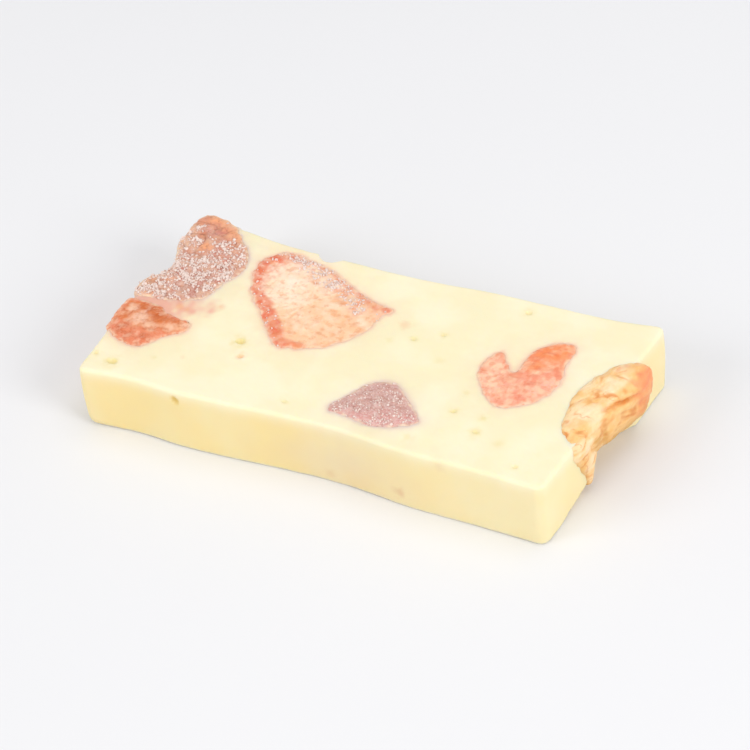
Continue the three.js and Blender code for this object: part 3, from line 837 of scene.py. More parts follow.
def build_nougat():
    """The bar itself, with the places of the fruit cut out of it."""
    plan = plan_points()
    rings = [side_ring(plan, height) for height in side_levels()]
    foot = face_points(rings[0][:, :2], 0.0)
    top = face_points(rings[-1][:, :2], THICK)
    nougat = closed_stack("nougat_body", rings, top, foot)
    cutters = [through_cutter(name, section) for name, section in SECTIONS.items()]
    cutters.append(end_fruit_base("cutter_end", END_POCKET))
    combine(nougat, cutters, "DIFFERENCE")
    keep_largest(nougat)
    shape_nougat(nougat)
    return nougat


def through_cutter(name, section):
    """A plain closed mesh that cuts the place of a piece of fruit out of the bar."""
    heights = (-PAST, 0, THICK / 2, THICK, THICK + PAST)
    rings = [at_height(section.at(height, -CLING), height) for height in heights]
    nothing = np.empty((0, 2))
    return closed_stack(f"cutter_{name}", rings, nothing, nothing)


def keep_largest(made):
    """Drops every loose scrap that the cuts left."""
    mesh = made.data
    owner = np.arange(len(mesh.vertices))
    edges = np.empty(len(mesh.edges) * 2, int)
    mesh.edges.foreach_get("vertices", edges)
    a, b = edges.reshape(-1, 2).T
    while True:
        least = np.minimum(owner[a], owner[b])
        after = owner.copy()
        np.minimum.at(after, a, least)
        np.minimum.at(after, b, least)
        after = after[after]
        if (after == owner).all():
            break
        owner = after
    values, counts = np.unique(owner, return_counts=True)
    keep = owner == values[counts.argmax()]
    if keep.all():
        return
    index = np.cumsum(keep) - 1
    points = places_of(made)[keep]
    faces = [[int(index[v]) for v in f.vertices] for f in mesh.polygons if keep[f.vertices[0]]]
    mesh.clear_geometry()
    mesh.from_pydata(points.tolist(), [], faces)


def shape_nougat(nougat):
    """Gives the faces their relief, and notes what the material needs."""
    points = places_of(nougat)
    upper = smooth(THICK - FACE_FADE, THICK, points[:, 2])
    lower = smooth(FACE_FADE, 0, points[:, 2])
    flat = smooth(*FLAT, upper)
    beyond = {name: -section.inward(points) for name, section in SECTIONS.items()}
    edge = np.minimum.reduce(list(beyond.values()))
    near_pit = front_pit_share(points)
    paint_halos(nougat, points, beyond)
    paint_face(nougat, points, flat)
    paint_sides(nougat, points, lower)
    paint(nougat, "stain", FRONT_PIT_STAIN - near_pit**2)
    raised = points + swayed(points, edge)
    raised[:, 2] += face_relief(points) * upper - pit_depth(points) * flat
    raised[:, 2] += np.abs(face_relief(points)) * lower
    raised[:, 1] += FRONT_PIT["deep"] * np.clip(1 - near_pit**2, 0, 1)
    put_places(nougat, raised)


def paint_face(nougat, points, flat):
    """The specks in the upper face, and the smear between two pieces of fruit."""
    for name, specks in SPECKS.items():
        paint(nougat, name, touched(points[:, :2], specks) * flat)
    inward = to_ring(points[:, :2], outline_of(SMEAR, SEAM_FINE))
    smear = frayed(-SMEAR_SOFT, SMEAR_SOFT, inward, points, SMEAR_EDGE)
    left = smooth(SMEAR_LEFT["from"], SMEAR_LEFT["to"], points[:, 0])
    strong = SMEAR_STRONG + SMEAR_LEFT["strong"] * left
    paint(nougat, "smear", smear * layered(points, SMEAR_PATCHY, base=strong) * flat)


def paint_sides(nougat, points, lower):
    """The painted shade of the sides, drawn as a deeper cream, the marks on the front one, and the
    painted shade on the torn surface.
    """
    # painted shade: the sides are drawn a deeper yellow, as they look in shade and warm bounce light,
    # fading in below the upper edge
    side = smooth(THICK + SIDE_SHADE["above"], THICK - SIDE_SHADE["below"], points[:, 2])
    side = side ** SIDE_SHADE["bend"] * (1 - smooth(SIDE_SHADE["foot"], 1, lower))
    paler = SIDE_SHADE["paler"] * smooth(0, SIDE_SHADE["by"], points[:, 0])
    paint(nougat, "side", side * (1 - paler))
    paint(nougat, "spot", touched(points, FRONT_SPOTS))
    # painted shade on the torn surface beneath the overhanging fold
    paint(nougat, "torn", torn_shade_share(points))
    paint(nougat, "smudge", smudged(points))


def front_pit_share(points):
    """Distance from the slanting pit in the front side, 1 at its rim."""
    arm = points - FRONT_PIT["at"]
    slant = math.radians(FRONT_PIT["slant"])
    along = arm[:, 0] * math.cos(slant) + arm[:, 2] * math.sin(slant)
    across = arm[:, 2] * math.cos(slant) - arm[:, 0] * math.sin(slant)
    level = np.hypot(along / FRONT_PIT["long"], across / FRONT_PIT["short"])
    return np.hypot(level, arm[:, 1] / FRONT_PIT["long"])


def paint_halos(nougat, points, beyond):
    """The colour that the fruit's juice has given to the nougat beside it."""
    patchy = layered(points, *HALO_PATCHY, base=1)
    halos = {"pink": np.zeros(len(points)), "mauve": np.zeros(len(points))}
    for name, gap in beyond.items():
        kind = "mauve" if name.startswith("cranberry") else "pink"
        far = np.maximum(0, gap)
        close = HALO_CLOSE["strong"] * np.exp(-((far / (HALO_CLOSE["reach"] * patchy)) ** 2))
        wide = HALO_WIDE["strong"] * np.exp(-far / (HALO_WIDE["reach"] * patchy))
        halos[kind] = np.maximum(halos[kind], close + wide)
    for kind, strength in halos.items():
        paint(nougat, kind, strength)


def smudged(points):
    """The strength of the dull stains low on the front side."""
    strength = np.zeros(len(points))
    uneven = layered(points, SMUDGE_EDGE, base=1)
    for x, z, half_x, half_z, strong in SMUDGES:
        away = np.hypot((points[:, 0] - x) / half_x, (points[:, 2] - z) / half_z) / uneven
        strength = np.maximum(strength, strong * np.exp(-(away**2)))
    return strength * smooth(*FRONT_SIDE, points[:, 1])


def end_at(y):
    """Where the bar's right end lies at a place across the bar."""
    (x0, y0), (x1, y1) = PLAN["right"][0], PLAN["right"][-1]
    return x0 + (x1 - x0) * (y - y0) / (y1 - y0)


def torn_shade_share(points):
    """Painted shade: 1 on the torn surface under the fruit at the right end, which lies in its shade,
    0 elsewhere.
    """
    along = points[:, 1] - PLAN["right"][0][1]
    below = torn_depth(along, points[:, 2])
    inward = end_at(points[:, 1]) - points[:, 0]
    return smooth(*TORN_SHADE_SHOWS, below) * smooth(*TORN_SHADE_INWARD, inward)


# ---------------------------------------------------------------- fruit that runs through

RIM_RISE = np.array([0.0, 0.06, 0.16, 0.34])  # heights of the rings next to each broad face
RIM_DRAWN = [0.06, 0.02, 0]  # how far the outermost of them are drawn in
FRUIT_FOOT = 0.06  # its underside lies this far above the bar's
INNER_RINGS = (0.8, THICK - 0.9, 19)  # from and to which height, and how many
EDGE_TINT = (0.5, 0)  # the fruit turns pale from this distance to its outline
EDGE_FRAY = (0.3, 0.7, 38)
DOMED = (THICK - 0.5, THICK - CLING)  # the heights over which the dome sets in
HELD = 0.25  # this share of the relief is left at the outline
HELD_REACH = 1.1  # and all of it this far inside
DOME_REACH = 0.9  # how gently the dome rises
LEVELLED_REACH = 1.5  # the bar's own relief has faded out this far inside the fruit
FRUIT_LOWEST = 0.03  # no fruit reaches below this height


def fruit_levels():
    """Heights of the rings of a piece of fruit, close together at its rims."""
    top = THICK - CLING - RIM_RISE
    return np.concatenate([FRUIT_FOOT + RIM_RISE, np.linspace(*INNER_RINGS), top[::-1]])


def plain_fruit(name):
    """A piece of fruit before its relief."""
    heights = fruit_levels()
    drawn = np.zeros(len(heights))
    drawn[: len(RIM_DRAWN)] = RIM_DRAWN
    drawn[-len(RIM_DRAWN) :] = RIM_DRAWN[::-1]
    rings = [at_height(SECTIONS[name].at(z, -inset), z) for z, inset in zip(heights, drawn)]
    top = lattice_points(rings[-1][:, :2], FRUIT_FINE)
    foot = lattice_points(rings[0][:, :2], FOOT_FINE)
    return closed_stack(f"{name}_flesh", rings, top, foot)


def build_through_fruit(name):
    """A piece of fruit with its relief, and with what its material needs."""
    section = SECTIONS[name]
    fruit = plain_fruit(name)
    points = places_of(fruit)
    home = section.home(points)
    inward = np.maximum(0, to_ring(home, section.ring))
    relief, masks = FRUIT_LOOKS[name](points, home, inward)
    masks["edge"] = frayed(*EDGE_TINT, inward, points, EDGE_FRAY)
    for mask, values in masks.items():
        paint(fruit, mask, np.maximum(values, touched(home, TOUCHES[name].get(mask, []))))
    upper = smooth(*DOMED, points[:, 2])
    free = HELD + (1 - HELD) * smooth(0, HELD_REACH, inward)
    raised = points + swayed(points, inward)
    raised += normals_at(fruit) * (relief * free)[:, None]
    raised[:, 2] += upper * (section.dome * (1 - np.exp(-inward / DOME_REACH)) + CLING)
    raised[:, 2] += face_relief(points) * upper * np.exp(-inward / LEVELLED_REACH)
    raised[:, 2] = np.maximum(below_limit(raised[:, 2], HIGHEST), FRUIT_LOWEST)
    put_places(fruit, raised)
    return fruit


# Each of these gives a piece's relief in millimetres, and the strength of each of its colours. They
# take its points, the places of those on the upper face, and their distance inside the outline.


def corner_cranberry_looks(points, home, inward):
    """Deep folds under thick dust, a warm tip at the back and a paler left side."""
    x, y = home.T
    bent = strayed(points, 0.5, 2, 40)
    folds = pillows(bent, 2.4, 43)
    fine = pillows(bent, 1.1, 44)
    relief = 0.3 * (folds - 0.5) + 0.14 * (fine - 0.5) + 0.05 * grain(points, 0.5, 45)
    tip = frayed(11.5, 15.5, y + 0.35 * (x + 28), points, (0.9, 1.2, 46))
    left = frayed(2.2, 0.8, inward, points, (0.4, 0.8, 47)) * smooth(-26, -30, x)
    clumps = layered(points, (0.3, 1.6, 48), (0.25, 0.8, 49))
    warm = touched(home, TOUCHES["cranberry_corner"]["warm"])
    dust = 0.85 + clumps - np.maximum(0.5 * tip, 0.75 * warm) + 0.1 * left
    dust -= 0.32 * smooth(7.5, 12, y) + 0.2 * smooth(4.5, 1.5, y)
    uneven = layered(points, (0.4, 1, 120), base=0.75)
    masks = {
        "rim": 0.45 * patches(0, 0.5, points, 1.3, 50),
        "pale": 0.4 * left * (1 - tip) + 0.25 * smooth(0.9, 0.2, inward),
        "dust": dust,
        # painted shade in the creases of the folds
        "dark": smooth(0.3, 0.1, folds) * 0.8 + smooth(0.26, 0.1, fine) * 0.5,
        "warm": np.maximum(tip, 0.35 * smooth(6, 10, y)) * uneven,
    }
    return relief, masks


def left_strawberry_looks(points, home, inward):
    """Dark orange flesh with a pale heart, and coral skin along its front."""
    folds = pillows(strayed(points, 0.4, 1.6, 51), 1.7, 54)
    relief = 0.18 * (folds - 0.5) + 0.07 * grain(points, 0.6, 55)
    low = frayed(-6, -7.6, home[:, 1], points, (0.6, 1.1, 56))
    heart = touched(home, TOUCHES["strawberry_left"]["pale"])
    flecks = patches(0, 0.5, points, 0.75, 57)
    skin = frayed(0.9, 0.2, inward, points, (0.4, 0.7, 58))
    masks = {
        "rim": (1 - heart) * np.maximum(low * 0.9, skin),
        "pale": 0.35 * flecks * (0.4 + low),
        "dust": 0.1 + 0.25 * grain(points, 0.9, 59) + 0.2 * low,
        # painted shade in the creases of the folds
        "dark": smooth(0.3, 0.1, folds) * 0.5,
        "warm": 0.25 * patches(0.1, 0.6, points, 1.3, 60),
    }
    return relief, masks


STRONG_SIDE = math.radians(207)  # the slice's rim is widest on this side of its middle
BACKWARD = np.array([0.45, 0.89])  # across the slice, to its dusty side


def slice_looks(points, home, inward):
    """Pale flesh with fibres that run out from its middle, a coral rim and a dusty back."""
    arm = home - SECTIONS["strawberry_slice"].middle
    angle = np.arctan2(arm[:, 1], arm[:, 0])
    radius = np.hypot(*arm.T)
    polar = np.stack([7 * np.cos(angle), 7 * np.sin(angle), radius * 0.35], axis=1)
    fibre = grain(strayed(polar, 0.5, 1.3, 61), 0.85, 64)
    strong = frayed(-0.1, 0.4, np.cos(angle - STRONG_SIDE), points, (0.15, 1.5, 65))
    back = frayed(1.6, 4.2, arm @ BACKWARD, points, (0.8, 1.1, 66))
    back = back * (1 - 0.8 * smooth(6.5, 8.8, arm[:, 0]))
    width = 0.42 + 1.4 * strong + 0.3 * back + layered(points, (0.45, 1.5, 67), (0.3, 0.8, 68))
    rim = smooth(width + 0.5, width - 0.4, inward) * (0.3 + 0.7 * np.maximum(strong, 0.7 * back))
    rim = rim * (1 - (0.75 - 0.45 * strong) * patches(-0.1, 0.5, points, 0.75, 69))
    band = back * smooth(5.2, 3.2, inward)
    peach = smooth(-4, 3, arm[:, 0] * 0.8 - arm[:, 1] * 0.6)
    relief = 0.05 * fibre * smooth(0.6, 1.8, inward) + 0.09 * rim
    relief += layered(points, (0.07, 1.4, 70), (0.05, 0.6, 71))
    pores = patches(0.42, 0.7, points, 0.6, 72)
    masks = {
        "rim": np.maximum(rim, band * 0.5 * patches(-0.1, 0.4, points, 0.8, 73)),
        "pale": 0.45 * (1 - peach) + 0.3 * fibre + 0.25 * grain(points, 1.8, 74),
        "dust": band * (0.75 + 0.35 * grain(points, 0.7, 75)) + 0.25 * rim * strong,
        "dark": pores * (0.25 + 0.5 * band + 0.35 * rim),
        "warm": peach * (0.7 + 0.3 * grain(points, 1.2, 76)),
    }
    return relief, masks


def small_cranberry_looks(points, home, inward):
    """Shallow folds under dust, redder towards the front."""
    x, y = home.T
    folds = pillows(strayed(points, 0.4, 1.7, 77), 1.8, 80)
    relief = 0.12 * (folds - 0.5) + 0.05 * grain(points, 0.5, 81)
    lower = frayed(-10, -12.8, y - 0.25 * (x - 8), points, (0.5, 1, 82))
    masks = {
        "rim": 0.8 * lower + 0.4 * frayed(0.7, 0.1, inward, points, (0.3, 0.6, 83)),
        "pale": 0.25 * patches(0.1, 0.6, points, 1, 84),
        "dust": layered(points, (0.3, 1, 85), (0.2, 0.6, 86), base=0.7),
        # painted shade in the creases of the folds, and dark patches
        "dark": smooth(0.3, 0.08, folds) * 0.8 + 0.4 * patches(0.35, 0.7, points, 0.6, 87),
        "warm": 0.5 * lower,
    }
    return relief, masks


def notched_strawberry_looks(points, home, inward):
    """Coral flesh with light and dark flecks, and a pale left side."""
    x, y = home.T
    folds = pillows(strayed(points, 0.35, 1.5, 101), 1.4, 104)
    relief = 0.15 * (folds - 0.5) + 0.06 * grain(points, 0.7, 105)
    left = frayed(21, 18.6, x, points, (0.5, 1, 106))
    low = frayed(2.5, -3, y, points, (0.8, 1.3, 107))
    flecks = patches(0, 0.4, points, 0.7, 108)
    warm = touched(home, TOUCHES["strawberry_notched"]["warm"])
    light = 0.6 * patches(0, 0.4, points, 0.75, 110) * (1 - 0.6 * warm)
    masks = {
        "rim": 0.5 * frayed(0.9, 0.2, inward, points, (0.4, 0.7, 109)),
        "pale": 0.35 * left + light,
        "dust": 0.3 * low + 0.3 * left + 0.2 * grain(points, 0.9, 111),
        # dark flecks, and painted shade in the creases of the folds
        "dark": flecks * (0.45 + 0.2 * left) + 0.4 * smooth(0.25, 0.08, folds),
        "warm": smooth(2, 6.5, y) * (1 - left) + 0.3 * flecks * left,
    }
    return relief, masks


FRUIT_LOOKS = {
    "cranberry_corner": corner_cranberry_looks,
    "strawberry_left": left_strawberry_looks,
    "strawberry_slice": slice_looks,
    "cranberry_small": small_cranberry_looks,
    "strawberry_notched": notched_strawberry_looks,
}

# ---------------------------------------------------------------- the folded slice at the end

FOLD_ROWS = {"steps": 8, "points": 56}  # steps between the rows of FOLD, and points in a ring
TAIL_ROWS = {"steps": 5, "points": 32}
SOFTENED = {"factor": 0.5, "times": 3}
FLOW = math.radians(28)  # the way that the folds run, in plan
LAYER_SEEN = {"out": (-0.4, 0.4), "front": (-2.2, -1), "back": (6.5, 4)}  # where the step shows


def oval(count, middle, half, squareness):
    """A ring round an oval, which is squarer the smaller its squareness is."""
    turn = np.arange(count) * 2 * math.pi / count
    cos, sin = np.cos(turn), np.sin(turn)
    x = half[0] * np.sign(cos) * np.abs(cos) ** squareness
    y = half[1] * np.sign(sin) * np.abs(sin) ** squareness
    return np.stack([middle[0] + x, middle[1] + y], axis=1)


def lengthened(places, wider):
    """Places of the rings in a stack, with the first and the last moved out."""
    moved = places.copy()
    moved[0] -= wider
    moved[-1] += wider
    return moved


def fold_rings(wider):
    """Upright rings across the fold, from the back of the bar to its front."""
    rows = spline(FOLD, closed=False, steps=FOLD_ROWS["steps"])
    rings = []
    for (y, reach_in, reach_out, low, high), at in zip(rows, lengthened(rows[:, 0], wider)):
        left, right = end_at(y) - reach_in, end_at(y) + reach_out
        middle = ((left + right) / 2, (low + high) / 2)
        half = ((right - left) / 2, (high - low) / 2)
        ring = offset(oval(FOLD_ROWS["points"], middle, half, SQUARENESS), wider)
        rings.append(np.stack([ring[:, 0], np.full(len(ring), at), ring[:, 1]], axis=1))
    return rings[::-1]


def tail_rings(wider):
    """Level rings up the tail."""
    rows = spline(TAIL, closed=False, steps=TAIL_ROWS["steps"])
    rings = []
    for (_, y, half), height in zip(rows, lengthened(rows[:, 0], wider)):
        middle = (end_at(y) + (TAIL_OUT - TAIL_IN) / 2, y)
        ring = oval(TAIL_ROWS["points"], middle, ((TAIL_OUT + TAIL_IN) / 2, half), 1)
        rings.append(at_height(offset(ring, wider), height))
    return rings


def plain_stack(name, rings):
    """A closed mesh through rings in any planes, with one face at each end."""
    points, faces = walls(rings)
    count = len(rings[0])
    last = (len(rings) - 1) * count
    faces.append(list(range(count))[::-1])
    faces.append(list(range(last, last + count)))
    return mesh_of(name, points, faces)


def end_fruit_base(name, wider):
    """The fold and its tail in one plain closed mesh."""
    fold = plain_stack(name, fold_rings(wider["fold"]))
    tail = plain_stack(f"{name}_tail", tail_rings(wider["tail"]))
    return combine(fold, [tail], "UNION")


def build_end_fruit():
    """The folded slice with its relief, and with what its material needs."""
    fruit = end_fruit_base("strawberry_end_flesh", END_CORE)
    remesh = fruit.modifiers.new("even", "REMESH")
    remesh.mode = "VOXEL"
    remesh.voxel_size = END_FINE
    soften = fruit.modifiers.new("soften", "SMOOTH")
    soften.factor = SOFTENED["factor"]
    soften.iterations = SOFTENED["times"]
    apply_modifiers(fruit)
    points, normals = places_of(fruit), normals_at(fruit)
    relief, masks = end_fruit_looks(points, normals)
    for mask, values in masks.items():
        paint(fruit, mask, np.maximum(values, touched(points, END_TOUCHES[mask])))
    raised = points + normals * relief[:, None]
    raised[:, 2] = below_limit(raised[:, 2], HIGHEST)
    put_places(fruit, raised)
    return fruit


def end_folds(points):
    """The slice's large and small folds, and its fibres, drawn out along the way they run."""
    along = points @ np.array([-math.sin(FLOW), -math.cos(FLOW), 0])
    across = points @ np.array([math.cos(FLOW), -math.sin(FLOW), 0])
    stream = np.stack([across, along * 0.5, points[:, 2]], axis=1)
    bent = strayed(strayed(stream, 0.6, 2.1, 88), 0.25, 0.8, 91)
    fibre = grain(strayed(stream * [1, 0.4, 1], 0.3, 1, 113), 0.34, 116)
    return pillows(bent, 1.6, 94), pillows(bent, 0.75, 95), fibre


def end_drape(points):
    """The long folds of the part that hangs over the end, which fall towards the back."""
    x, y, z = points.T
    drape = np.stack([x * 0.4, y * 0.3, z + LAYER["fall"] * y], axis=1)
    return pillows(strayed(drape, 0.3, 0.9, 121), 0.85, 124)


def end_layer(points, out):
    """1 in the step between the slice's two layers, 0 elsewhere."""
    _, y, z = points.T
    level = LAYER["high"] - LAYER["fall"] * y
    seen = smooth(*LAYER_SEEN["out"], out) * smooth(*LAYER_SEEN["front"], y)
    seen = seen * smooth(*LAYER_SEEN["back"], y)
    return np.exp(-(((z - level) / LAYER["wide"]) ** 2)) * seen


def end_fruit_looks(points, normals):
    """Its relief in millimetres, and the strength of each of its colours, among them painted shade in
    its creases and on its underside, and painted highlights on its ridges.
    """
    x, y, z = points.T
    out = x - end_at(y)
    hanging = smooth(0.1, 0.9, out) * smooth(-3.6, -2.2, y)
    big, small, fibre = end_folds(points)
    drape = end_drape(points)
    layer = end_layer(points, out)
    relief = 0.17 * big + 0.08 * small + 0.11 * grain(points, 1.3, 117) + 0.03
    relief += 0.2 * (drape - 0.65) * hanging
    relief += 0.04 * fibre + 0.03 * grain(points, 0.4, 96) - LAYER["deep"] * layer
    red = frayed(3.2, 5.6, y, points, (0.7, 1, 98))
    red = red * frayed(0.6, 1.5, out, points, (0.3, 0.8, 97))
    red *= layered(points, (0.35, 0.7, 99), base=0.75)
    # painted shade: darker orange in the creases of the folds, and in the step between the two layers
    lines = 0.9 * smooth(0.42, 0.16, big) + 0.6 * smooth(0.38, 0.14, small)
    lines = np.maximum(lines * (1 - 0.6 * hanging), hanging * smooth(0.48, 0.2, drape))
    # painted highlights on the crests of the folds
    ridge_highlights = 0.6 * smooth(0.45, 0.8, big) * (1 - hanging)
    ridge_highlights += 0.65 * smooth(0.7, 0.92, drape) * hanging
    masks = {
        "amber": 0.6 * np.maximum(patches(0.05, 0.55, points, 1.5, 100), hanging),
        "crease_shade": lines * patches(-0.3, 0.4, points, 1.2, 118) + 0.6 * layer,
        "red": red,
        "pale": (ridge_highlights + 0.05 + 0.3 * fibre) * (1 - red),
        # painted shade where the slice faces downward
        "under": smooth(0.1, -0.5, normals[:, 2]) * smooth(8, 6.5, z),
    }
    return relief, masks


# ---------------------------------------------------------------- grains of milk powder

GOLDEN = (1 + math.sqrt(5)) / 2
JUST_OVER = 1.01  # neighbouring corners are less than this many times the least gap apart
# Grains lie on faces at least this level, and this close to the heights of the broad faces.
LEVEL_FACE = 0.7
NEAR_TOP = 0.3
NEAR_FOOT = 0.4
GRAIN_EVEN = 0.35  # the least chance between clumps
GRAIN_CLUMPS = (-0.2, 0.5)
FEWER_AT_EDGE = 0.8
GRAIN_STRETCH = (0.7, 1.3)
GRAIN_FLAT = (1, 1, 0.7)
GRAIN_UNEVEN = (0.8, 1.1)
GRAIN_STANDS = 0.25  # its middle stands off the fruit by this share of its radius
GRAIN_HEIGHTS = (0.01, HIGHEST + 0.08)


def icosahedron():
    """The corners and faces of a regular solid with 20 sides, whose corners are 1 from its middle."""
    corners = []
    for a in (-1, 1):
        for b in (-GOLDEN, GOLDEN):
            corners += [(0, a, b), (a, b, 0), (b, 0, a)]
    corners = np.array(corners) / math.hypot(1, GOLDEN)
    near = np.linalg.norm(corners[:, None] - corners, axis=-1)
    side = near[near > 0].min() * JUST_OVER
    faces = []
    for i, j, k in combinations(range(len(corners)), 3):
        if max(near[i, j], near[j, k], near[i, k]) > side:
            continue
        normal = np.cross(corners[j] - corners[i], corners[k] - corners[i])
        faces.append((i, j, k) if normal @ corners[i] > 0 else (i, k, j))
    return corners, np.array(faces)


def grain_chance(fruit, seed):
    """How likely each vertex is to carry a grain: most where the dust is thickest."""
    points, normals = places_of(fruit), normals_at(fruit)
    height = points[:, 2]
    low = height < NEAR_FOOT
    cut = (np.abs(normals[:, 2]) > LEVEL_FACE) & ((height > THICK - NEAR_TOP) | low)
    clumped = GRAIN_EVEN + smooth(*GRAIN_CLUMPS, grain(points, 0.9, seed))
    chance = np.where(cut, painted(fruit, "dust") ** 2 * clumped, 0)
    chance *= 1 - FEWER_AT_EDGE * painted(fruit, "edge")
    chance *= np.where(low, (FOOT_FINE / FRUIT_FINE) ** 2, 1)
    return chance / chance.sum()


def grains_on(fruit, name, count, seed, sizes):
    """Small uneven grains that sit on the cut faces of a piece of fruit."""
    rng = np.random.default_rng(seed)
    points, normals = places_of(fruit), normals_at(fruit)
    chosen = rng.choice(len(points), count, replace=False, p=grain_chance(fruit, seed))
    corners, faces = icosahedron()
    places, sides = [], []
    for index, vertex in enumerate(chosen):
        radius = rng.uniform(*sizes) / 2
        stretch = rng.uniform(*GRAIN_STRETCH, 3) * GRAIN_FLAT
        uneven = rng.uniform(*GRAIN_UNEVEN, (len(corners), 1))
        shape = corners * uneven * stretch * radius
        angle = rng.uniform(0, 2 * math.pi)
        turn = np.array(Matrix.Rotation(angle, 3, rng.normal(size=3).tolist()))
        middle = points[vertex] + normals[vertex] * radius * GRAIN_STANDS
        places.append(middle + shape @ turn.T)
        sides.append(faces + index * len(corners))
    places = np.concatenate(places)
    lowest, limit = GRAIN_HEIGHTS
    places[:, 2] = np.clip(below_limit(places[:, 2], limit), lowest, None)
    made = mesh_of(name, places, np.concatenate(sides).tolist())
    paint(made, "shade", np.repeat(rng.uniform(0, 1, count), len(corners)))
    return made


# ---------------------------------------------------------------- materials


class Tree:
    """A material's nodes. A socket given as a value is linked, and anything else is set."""

    def __init__(self, name):
        self.material = bpy.data.materials.new(name)
        self.material.use_nodes = True
        self.nodes = self.material.node_tree.nodes
        self.links = self.material.node_tree.links
        self.shader = self.nodes["Principled BSDF"]
        self.place = self.add("ShaderNodeTexCoord").outputs["Object"]

    def add(self, kind, inputs=None, **settings):
        made = self.nodes.new(kind)
        for key, value in settings.items():
            setattr(made, key, value)
        for key, value in (inputs or {}).items():
            self.put(made.inputs[key], value)
        return made

    def put(self, socket, value):
        if isinstance(value, bpy.types.NodeSocket):
            self.links.new(value, socket)
        else:
            socket.default_value = value

    def mask(self, name, share=1.0):
        """What paint() has kept under a name, times a share."""
        found = self.add("ShaderNodeAttribute", attribute_name=name).outputs["Fac"]
        return found if share == 1 else self.math("MULTIPLY", found, share)

    def noise(self, size_mm, detail, squash=(1, 1, 1), rough=0.5):
        """Noise from 0 to 1 with features about a size."""
        scaled = self.add("ShaderNodeMapping", {"Vector": self.place, "Scale": squash})
        inputs = {
            "Vector": scaled.outputs[0], "Scale": 1000 / size_mm,
            "Detail": detail, "Roughness": rough,
        }
        return self.add("ShaderNodeTexNoise", inputs).outputs["Fac"]

    def step(self, value, low, high):
        """0 where value is at low, 1 where it is at high, and smooth between them."""
        inputs = {"Value": value, "From Min": low, "From Max": high}
        return self.add("ShaderNodeMapRange", inputs, interpolation_type="SMOOTHSTEP").outputs[0]

    def math(self, operation, a, b):
        return self.add("ShaderNodeMath", {0: a, 1: b}, operation=operation).outputs[0]

    def blend(self, share, a, b):
        """Colour a where the share is 0, and b where it is 1."""
        made = self.add("ShaderNodeMix", data_type="RGBA")
        for index, value in ((0, share), (6, a), (7, b)):
            self.put(made.inputs[index], value)
        return made.outputs[2]

    def bump(self, height, strength, distance_mm):
        inputs = {"Height": height, "Strength": strength, "Distance": distance_mm / 1000}
        self.put(self.shader.inputs["Normal"], self.add("ShaderNodeBump", inputs).outputs[0])

    def surface(self, colour, rough, **constants):
        """Sets the shader's colour and roughness, and constants for its other sockets."""
        self.put(self.shader.inputs["Base Color"], colour)
        self.put(self.shader.inputs["Roughness"], rough)
        for key, value in constants.items():
            self.shader.inputs[key.replace("_", " ")].default_value = value
        return self.material


def colour(red, green, blue):
    """A colour as seen on screen, 0 to 255, as the shader takes it: the sRGB curve undone."""
    values = [c / 255 for c in (red, green, blue)]
    linear = [c / 12.92 if c <= 0.04045 else ((c + 0.055) / 1.055) ** 2.4 for c in values]
    return (*linear, 1)


def soft(tree, weight, radius_mm):
    """Light that sinks in and comes out again nearby, reddest furthest away."""
    tree.shader.inputs["Subsurface Weight"].default_value = weight
    tree.shader.inputs["Subsurface Radius"].default_value = (1.0, 0.75, 0.4)
    tree.shader.inputs["Subsurface Scale"].default_value = radius_mm / 1000


# Each mask with the strength and the tint that it blends over the nougat, in this order. Most are
# stains; torn is painted shade.
NOUGAT_STAINS_AND_SHADE = [
    ("pink", 0.75, colour(246, 190, 164)),
    ("mauve", 0.7, colour(226, 192, 182)),
    ("smear", 0.82, colour(233, 165, 146)),
    ("olive", 0.75, colour(222, 198, 88)),
    ("rust", 0.75, colour(237, 170, 116)),
    ("stain", 0.85, colour(222, 184, 86)),
    # painted shade on the torn surface beneath the overhanging fold
    ("torn", 0.55, colour(240, 200, 134)),
    ("smudge", 0.7, colour(226, 204, 178)),
    ("spot", 0.6, colour(216, 168, 124)),
]


def nougat_material():
    """Cream on the broad faces, and on the sides a deeper yellow that is painted shade, beneath the
    stains.
    """
    tree = Tree("nougat_cream")
    mottle = tree.step(tree.noise(7, 3), 0.35, 0.65)
    face = tree.blend(mottle, colour(243, 233, 196), colour(248, 238, 207))
    # painted shade: the sides' deeper yellow, laid where the side mask is painted
    side_shade_mottle = tree.step(tree.noise(9, 2, (1, 1, 0.6)), 0.3, 0.7)
    side = tree.blend(side_shade_mottle, colour(244, 221, 158), colour(243, 226, 174))
    base = tree.blend(tree.mask("side"), face, side)
    for mask, share, tint in NOUGAT_STAINS_AND_SHADE:
        base = tree.blend(tree.mask(mask, share), base, tint)
    soft(tree, 0.35, 1.2)
    tree.bump(tree.noise(0.45, 4), 0.25, 0.05)
    return tree.surface(base, 0.55, Specular_IOR_Level=0.35)


PALE_EDGE = colour(246, 222, 190)


